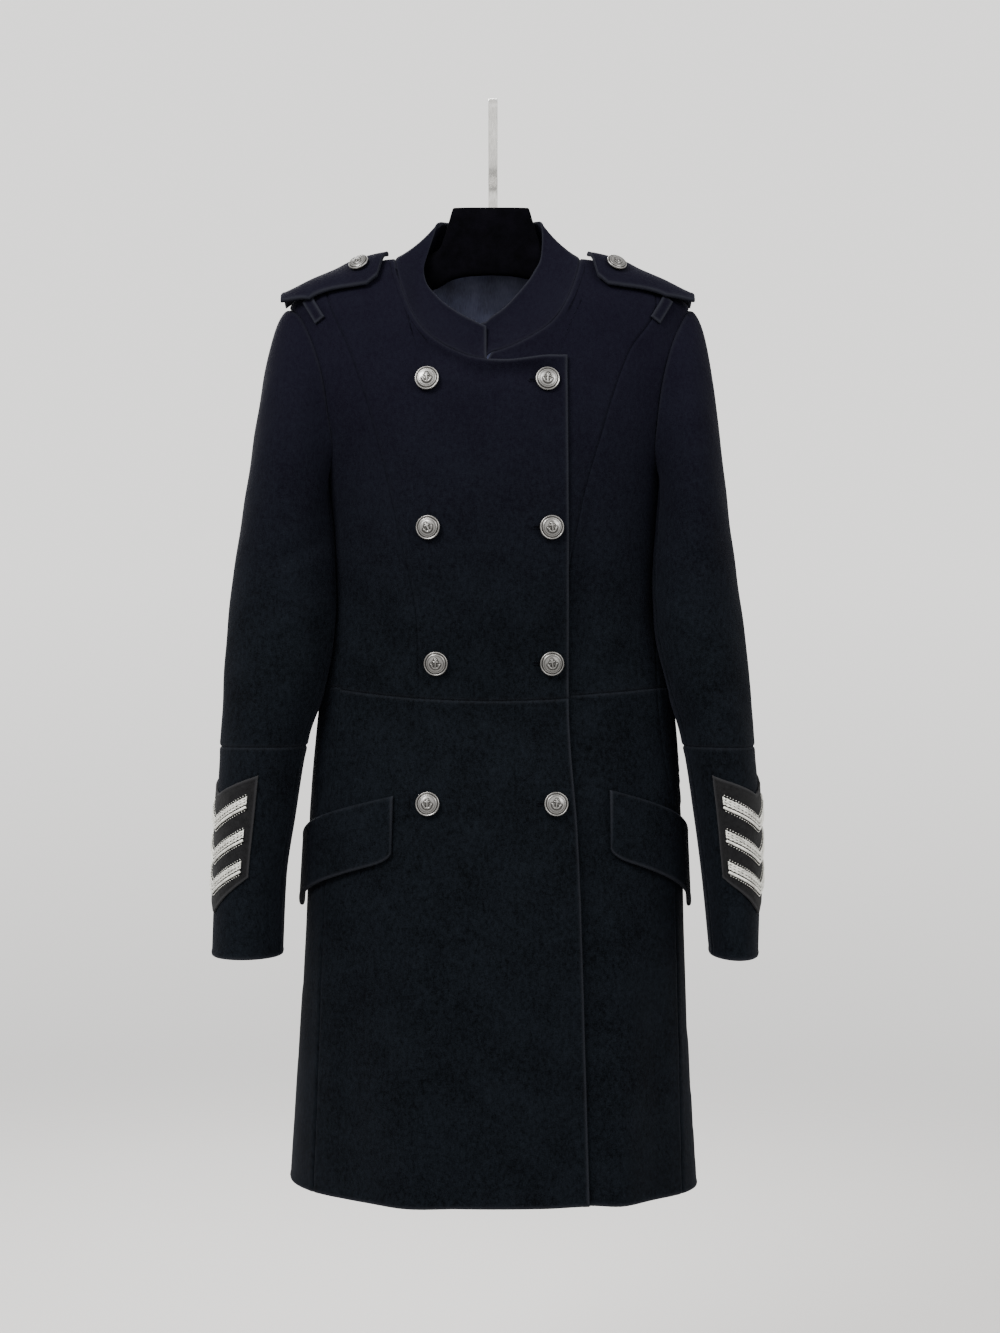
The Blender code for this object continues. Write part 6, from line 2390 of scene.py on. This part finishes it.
def segment_distance(
    u: np.ndarray, v: np.ndarray, first: tuple[float, float], last: tuple[float, float], width: float
) -> np.ndarray:
    """Distance from a thick line, negative inside it.

    Args:
        u: Across.
        v: Up.
        first: One end.
        last: The other end.
        width: Half the line's width.

    Returns:
        The distance.
    """
    du, dv = last[0] - first[0], last[1] - first[1]
    t = np.clip(((u - first[0]) * du + (v - first[1]) * dv) / (du**2 + dv**2), 0.0, 1.0)
    return np.hypot(u - first[0] - du * t, v - first[1] - dv * t) - width


@dataclass
class Fastenings:
    """The eight front buttons, their buttonholes and the shoulder buttons."""

    shell: Shell
    shoulders: dict[Side, Shoulder]
    rows: tuple[tuple[float, ...], ...] = (
        # row, left_x, right_x, height, gap
        (1, -61.0, 51.0, -279.5, 0.6),
        (2, -59.0, 54.0, -418.5, 0.2),
        (3, -52.5, 54.7, -544.5, 0.6),
        (4, -60.0, 58.5, -677.0, 0.6),
    )
    tilts: tuple[float, ...] = (0.06, -0.10, 0.45, 0.12, -0.05, 0.16, 0.02, -0.14)
    diameter: float = 23.0
    shoulder_diameter: float = 20.0

    def on_front(self, x: np.ndarray, z: np.ndarray, rise: np.ndarray) -> tuple[np.ndarray, np.ndarray]:
        """Points above the right front and the ways out there.

        Args:
            x: Across the body.
            z: Height.
            rise: Distance above the cloth.

        Returns:
            Points and ways out.
        """
        body = self.shell.body
        turn = body.turn_of(x, z, Half.FRONT)
        points = body.smooth_point(turn, z)
        ways = body.normal(turn, z)
        up = self.shell.overlap(points) + body.crease(points[..., 0], z, turn) + rise
        return points + ways * up[..., None], ways

    def build(self) -> None:
        """Builds all buttons and the buttonholes of the closing edge."""
        tilts = iter(self.tilts)
        for row, left_x, right_x, z, gap in self.rows:
            for column, x in (("right", left_x), ("left", right_x)):
                point, way = self.on_front(np.array(x), np.array(z), np.array(gap))
                MetalButton(
                    f"button_{column}_{int(row)}", point, way, self.diameter, next(tilts), self.shell.shop
                ).build()
            self.build_hole(int(row), right_x, z)
        for side, shoulder in self.shoulders.items():
            place, way = shoulder.button()
            MetalButton(
                f"{side.value}_shoulder_button", place, way, self.shoulder_diameter,
                0.3 * side.sign, self.shell.shop,
            ).build()

    def build_hole(self, row: int, x: float, z: float) -> None:
        """A keyhole buttonhole: a slit of painted shade with a ring of close stitches.

        Args:
            row: Its row.
            x: The button's place across.
            z: The button's height.
        """
        bundle = Bundle()
        first, last = x - self.diameter / 2.0 - 4.5, x + 2.0
        across = np.linspace(first, last, 24)
        path, ways = self.on_front(across, np.full_like(across, z), np.full_like(across, 0.12))
        # The slit is a strip of the black velvet finish, painted shade that stands for the opening.
        bundle.add(*flat_strip(path, ways, 1.5, 0.5), 1)
        for offset in (-1.25, 1.25):
            for x_stitch in np.arange(first, last, 0.95):
                ends = np.array([z + offset - 0.85, z + offset, z + offset + 0.85])
                stitch, ways = self.on_front(np.full(3, x_stitch), ends, np.array([0.1, 0.55, 0.1]))
                bundle.add(*tube_mesh(stitch, ways, np.array([0.3, 0.42, 0.3]), 5), 0)
        for angle in np.linspace(0.5 * np.pi, 1.5 * np.pi, 9):
            out = np.array([0.7, 1.5, 2.3])
            stitch, ways = self.on_front(
                first + out * np.cos(angle), z + out * np.sin(angle), np.array([0.1, 0.55, 0.1])
            )
            bundle.add(*tube_mesh(stitch, ways, np.array([0.3, 0.42, 0.3]), 5), 0)
        self.shell.shop.mesh_piece(
            f"buttonhole_{row}", np.concatenate(bundle.points), bundle.faces,
            [Slot.MELTON, Slot.VELVET], [], np.array(bundle.slots),
        )


@dataclass
class NeckLining:
    """The strip of lining inside the back of the neck, with its centre pleat."""

    body: BodyForm
    shop: Workshop
    turns: tuple[float, float] = (146.0, 214.0)
    heights: tuple[float, float] = (-156.5, -300.0)
    depth: float = 4.1
    cloth: float = 1.5

    def build(self) -> None:
        """Builds the strip."""
        turn = self.turns[0] + (self.turns[1] - self.turns[0]) * shares_along(180.0, 3.0)
        z = self.heights[0] + (self.heights[1] - self.heights[0]) * shares_along(136.0, 4.0)
        turns, zz = np.meshgrid(turn, z)
        point = self.body.smooth_point(turns, zz)
        ways = self.body.normal(turns, zz)
        x = point[..., 0]
        pleat = 1.3 * smooth_step(x, -13.0, -10.5) * (1.0 - smooth_step(x, -8.5, 10.0))
        pleat = pleat * smooth_step(-zz, 160.0, 172.0)
        ripple = 0.35 * np.sin(x / 9.0 + zz / 37.0) * np.sin(zz / 19.0 + 1.0)
        points = point - ways * (self.depth + pleat + ripple)[..., None]
        self.shop.cloth(
            "back_neck_lining", points, ways, Wall(thickness=self.cloth, roll=0.2, seam_depth=0.3),
            EdgeStyle(0.0, 0.0, 0.0, 1.0), ["back_neck_lining"], "hung",
            ["right_back", "left_back"], [Slot.LINING],
        )


@dataclass
class Hanger:
    """The velvet hanger and its flat steel hook."""

    shop: Workshop
    middle_x: float = -2.0
    stations: tuple[tuple[float, ...], ...] = (
        # from_middle, top, bottom, half_depth, square
        (0.0, -103.0, -168.0, 6.5, 6.0),
        (20.0, -103.0, -169.0, 6.5, 6.0),
        (36.0, -103.5, -172.0, 6.8, 6.0),
        (40.5, -116.0, -174.0, 7.2, 5.0),
        (45.0, -131.0, -177.0, 7.6, 4.0),
        (50.0, -143.0, -180.0, 8.0, 3.4),
        (64.0, -152.0, -186.0, 9.5, 3.0),
        (90.0, -168.0, -196.0, 12.5, 2.4),
        (118.0, -166.5, -202.0, 15.0, 2.2),
        (140.0, -175.0, -206.0, 17.0, 2.2),
        (160.0, -185.5, -211.0, 17.5, 2.2),
        (172.0, -192.0, -213.0, 15.0, 2.2),
        (177.0, -197.0, -211.0, 9.0, 2.2),
    )
    end_steps: tuple[float, ...] = (173.0, 174.5, 176.0, 177.0)
    sides: int = 48
    rod_radius: float = 8.0
    strip: tuple[float, float] = (8.8, 2.8)
    strip_bevel: float = 0.7

    def build(self) -> None:
        """Builds both pieces."""
        self.build_body()
        self.build_hook()

    def build_body(self) -> None:
        """The flocked body, lofted along its arms."""
        table = SmoothTable(list(self.stations))
        neck, shoulder = np.arange(36.0, 52.0, 1.0), np.arange(53.0, 172.0, 3.0)
        right = np.concatenate([(0.0, 10.0, 20.0, 28.0, 33.0, 35.0), neck, shoulder, self.end_steps])
        away = np.concatenate([-right[:0:-1], right])
        top, bottom, half_depth, square = np.moveaxis(table.at(np.abs(away)), -1, 0)
        angle = np.arange(self.sides) * 2.0 * np.pi / self.sides
        c, s = np.cos(angle)[None], np.sin(angle)[None]
        size = (np.abs(c) ** square[:, None] + np.abs(s) ** square[:, None]) ** (1.0 / square[:, None])
        y = half_depth[:, None] * c / size
        z = ((top + bottom) / 2.0)[:, None] + ((top - bottom) / 2.0)[:, None] * s / size
        x = np.broadcast_to(self.middle_x + away[:, None], y.shape)
        points = np.stack([x, y, z], axis=-1).reshape(-1, 3)
        faces = outward(points, loft_faces(len(away), self.sides))
        self.shop.mesh_piece("hanger_body", points, faces, [Slot.VELVET], ["hanger_body"])

    def hook_path(self) -> np.ndarray:
        """The hook's middle line in Y and Z, with its bends rounded."""
        reach = self.rod_radius + self.strip[1] / 2.0
        path = [(0.0, -102.9), (0.0, -94.0), (0.0, -84.0), (-reach, -70.0), (-reach, -50.0), (-reach, -30.0)]
        line = np.array(path)
        for _round in range(3):
            before, after = line[:-1], line[1:]
            cut = np.stack([before * 0.75 + after * 0.25, before * 0.25 + after * 0.75], 1).reshape(-1, 2)
            line = np.concatenate([line[:1], cut, line[-1:]])
        turn = np.radians(np.linspace(180.0, 0.0, 41))
        arc = np.stack([reach * np.cos(turn), -self.rod_radius + reach * np.sin(turn)], axis=-1)
        return np.concatenate([line, arc, [[reach, -20.0], [reach, -33.0], [reach, -34.0]]])

    def build_hook(self) -> None:
        """The bent flat strip with eased edges."""
        path = self.hook_path()
        width, thickness = self.strip
        b = self.strip_bevel
        half_w, half_t = width / 2.0, thickness / 2.0
        section = [
            (half_w, -half_t + b), (half_w, half_t - b), (half_w - b, half_t), (-half_w + b, half_t),
            (-half_w, half_t - b), (-half_w, -half_t + b), (-half_w + b, -half_t), (half_w - b, -half_t),
        ]
        along = np.gradient(path, axis=0)
        along = along / np.linalg.norm(along, axis=1, keepdims=True)
        normal = np.stack([-along[:, 1], along[:, 0]], axis=-1)
        end = len(path) - 1
        points = []
        for i, (spot, way) in enumerate(zip(path, normal)):
            shrink = 0.8 if i in (0, end) else 1.0
            for across, out in section:
                y, z = spot + way * out * shrink
                points.append((across * (0.94 if i in (0, end) else 1.0), y, z))
        points = np.array(points)
        faces = outward(points, loft_faces(len(path), len(section)))
        hook = self.shop.mesh_piece("hanger_hook", points, faces, [Slot.STEEL], ["hanger_hook"])
        hook.data.set_sharp_from_angle(angle=math.radians(30.0))


def outward(points: np.ndarray, faces: list[tuple[int, ...]]) -> list[tuple[int, ...]]:
    """The faces of a closed shape, turned over if they point inward.

    Args:
        points: Its points.
        faces: Its faces, all turned the same way.

    Returns:
        The faces that point out.
    """
    volume = 0.0
    for face in faces:
        for i in range(1, len(face) - 1):
            a, b, c = points[face[0]], points[face[i]], points[face[i + 1]]
            volume += float(np.dot(a, np.cross(b, c)))
    return faces if volume > 0.0 else [face[::-1] for face in faces]


@dataclass
class Studio:
    """A plain pale floor, soft studio lights and the photo's camera."""

    pale: tuple[float, float, float] = (0.50, 0.49, 0.48)
    floor_z: float = -1.42
    radius: float = 4.0
    fade: tuple[float, float] = (0.7, 3.4)
    sky: tuple[tuple[float, float], ...] = (
        # place from nadir to zenith, level
        (0.0, 0.20),
        (0.33, 0.45),
        (0.42, 0.80),
        (0.52, 1.08),
        (1.0, 1.1),
    )
    sky_tint: tuple[float, float, float] = (1.0, 0.985, 0.965)
    sky_strength: float = 1.50
    lamps: tuple[tuple, ...] = (
        # name, place, target, size, power
        ("key", (-1.3, -1.7, 1.3), (0.0, 0.0, -0.45), 1.0, 150.0),
        ("fill", (1.7, -1.7, 0.7), (0.0, 0.0, -0.5), 1.4, 60.0),
        ("rim", (-0.6, 2.2, 0.9), (0.0, 0.0, -0.5), 1.6, 105.0),
    )
    camera_place: tuple[float, float, float] = (0.0068, -2.135, -0.548)
    focal_length: float = 59.41
    sensor_width: float = 36.0

    def build(self) -> None:
        """Builds the floor, the lights, the world and the camera."""
        self.add_floor()
        self.add_world()
        for lamp in self.lamps:
            self.add_area(*lamp)
        self.add_camera()

    def add_floor(self) -> None:
        """A wide pale disc well below the coat."""
        mesh = bpy.data.meshes.new("floor")
        shape = bmesh.new()
        bmesh.ops.create_circle(shape, cap_ends=True, segments=96, radius=self.radius)
        shape.to_mesh(mesh)
        shape.free()
        sheet = NodeSheet("floor_paint")
        sheet.set(Roughness=0.9, Specular_IOR_Level=0.1)
        mottled = sheet.noise(1.5, 2.0, 0.5)
        shade = tuple(level * 0.985 for level in self.pale)
        sheet.colour(sheet.ramp(mottled, [(0.3, shade), (0.7, self.pale)]))
        length = sheet.add("ShaderNodeVectorMath", operation="LENGTH")
        sheet.join(sheet.place, length.inputs[0])
        seen = sheet.eased(length.outputs["Value"], self.fade, (1.0, 0.0))
        sheet.join(seen, sheet.shader.inputs["Alpha"])
        mesh.materials.append(sheet.material)
        floor = bpy.data.objects.new("floor", mesh)
        floor.location = (0.0, 0.0, self.floor_z)
        bpy.context.scene.collection.objects.link(floor)

    def add_world(self) -> None:
        """A pale surround that darkens a little towards the ground."""
        world = bpy.data.worlds.new("surround")
        world.use_nodes = True
        tree = world.node_tree
        background = tree.nodes["Background"]
        place = tree.nodes.new("ShaderNodeTexCoord")
        split = tree.nodes.new("ShaderNodeSeparateXYZ")
        tree.links.new(place.outputs["Generated"], split.inputs["Vector"])
        ramp = tree.nodes.new("ShaderNodeValToRGB")
        shift = tree.nodes.new("ShaderNodeMapRange")
        shift.inputs["From Min"].default_value = -1.0
        shift.inputs["From Max"].default_value = 1.0
        tree.links.new(split.outputs["Z"], shift.inputs["Value"])
        tree.links.new(shift.outputs["Result"], ramp.inputs["Fac"])
        stops = [(place, tuple(level * part for part in self.sky_tint)) for place, level in self.sky]
        set_stops(ramp.color_ramp, stops)
        tree.links.new(ramp.outputs["Color"], background.inputs["Color"])
        background.inputs["Strength"].default_value = self.sky_strength
        bpy.context.scene.world = world

    def add_area(
        self,
        name: str,
        place: tuple[float, float, float],
        target: tuple[float, float, float],
        size: float,
        power: float,
    ) -> None:
        """A soft square light.

        Args:
            name: The light's name.
            place: Where it stands, in metres.
            target: What it points at.
            size: Its width in metres.
            power: Its power in watts.
        """
        lamp = bpy.data.lights.new(name, "AREA")
        lamp.size = size
        lamp.energy = power
        light = bpy.data.objects.new(name, lamp)
        light.location = place
        way = Vector(target) - Vector(place)
        light.rotation_euler = way.to_track_quat("-Z", "Y").to_euler()
        bpy.context.scene.collection.objects.link(light)

    def add_camera(self) -> None:
        """The camera, level with the coat's middle as in the photo."""
        lens = bpy.data.cameras.new("camera")
        lens.sensor_width = self.sensor_width
        lens.lens = self.focal_length
        lens.clip_start = 0.05
        lens.clip_end = 60.0
        camera = bpy.data.objects.new("camera", lens)
        camera.location = self.camera_place
        camera.rotation_euler = (math.radians(90.0), 0.0, 0.0)
        bpy.context.scene.collection.objects.link(camera)
        bpy.context.scene.camera = camera


def main() -> None:
    """Builds every piece of the coat and its hanger, and the studio round them."""
    logging.basicConfig(level=logging.INFO, format="%(name)s: %(message)s")
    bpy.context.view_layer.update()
    shop = Workshop()
    finishes = {
        Slot.MELTON: Melton(),
        Slot.FELT: Felt(),
        Slot.SILVER_BRAID: SilverBraid(),
        Slot.BUTTON_METAL: Pewter(),
        Slot.LINING: Satin(),
        Slot.VELVET: Velvet(),
        Slot.STEEL: SatinSteel(),
    }
    for slot, finish in finishes.items():
        shop.finishes[slot] = finish.material()
    body = BodyForm()
    seams = SeamLines(body)
    shell = Shell(body, seams, shop)
    shell.build_fronts()
    shell.build_backs()
    shell.build_skirt()
    shell.build_collar()
    sleeves = {side: Sleeve(side, body, seams, shop, SLEEVES[side]) for side in Side}
    for side, sleeve in sleeves.items():
        sleeve.build()
        RankPatch(sleeve, PATCH_ANGLES[side]).build()
    for side, (front, rear) in FLAP_ENDS.items():
        PocketFlap(side, shell, front, rear).build()
    shoulders = {side: Shoulder(side, body, shop) for side in Side}
    for shoulder in shoulders.values():
        shoulder.build()
    Fastenings(shell, shoulders).build()
    NeckLining(body, shop).build()
    Hanger(shop).build()
    Studio().build()


if __name__ == "__main__":
    main()
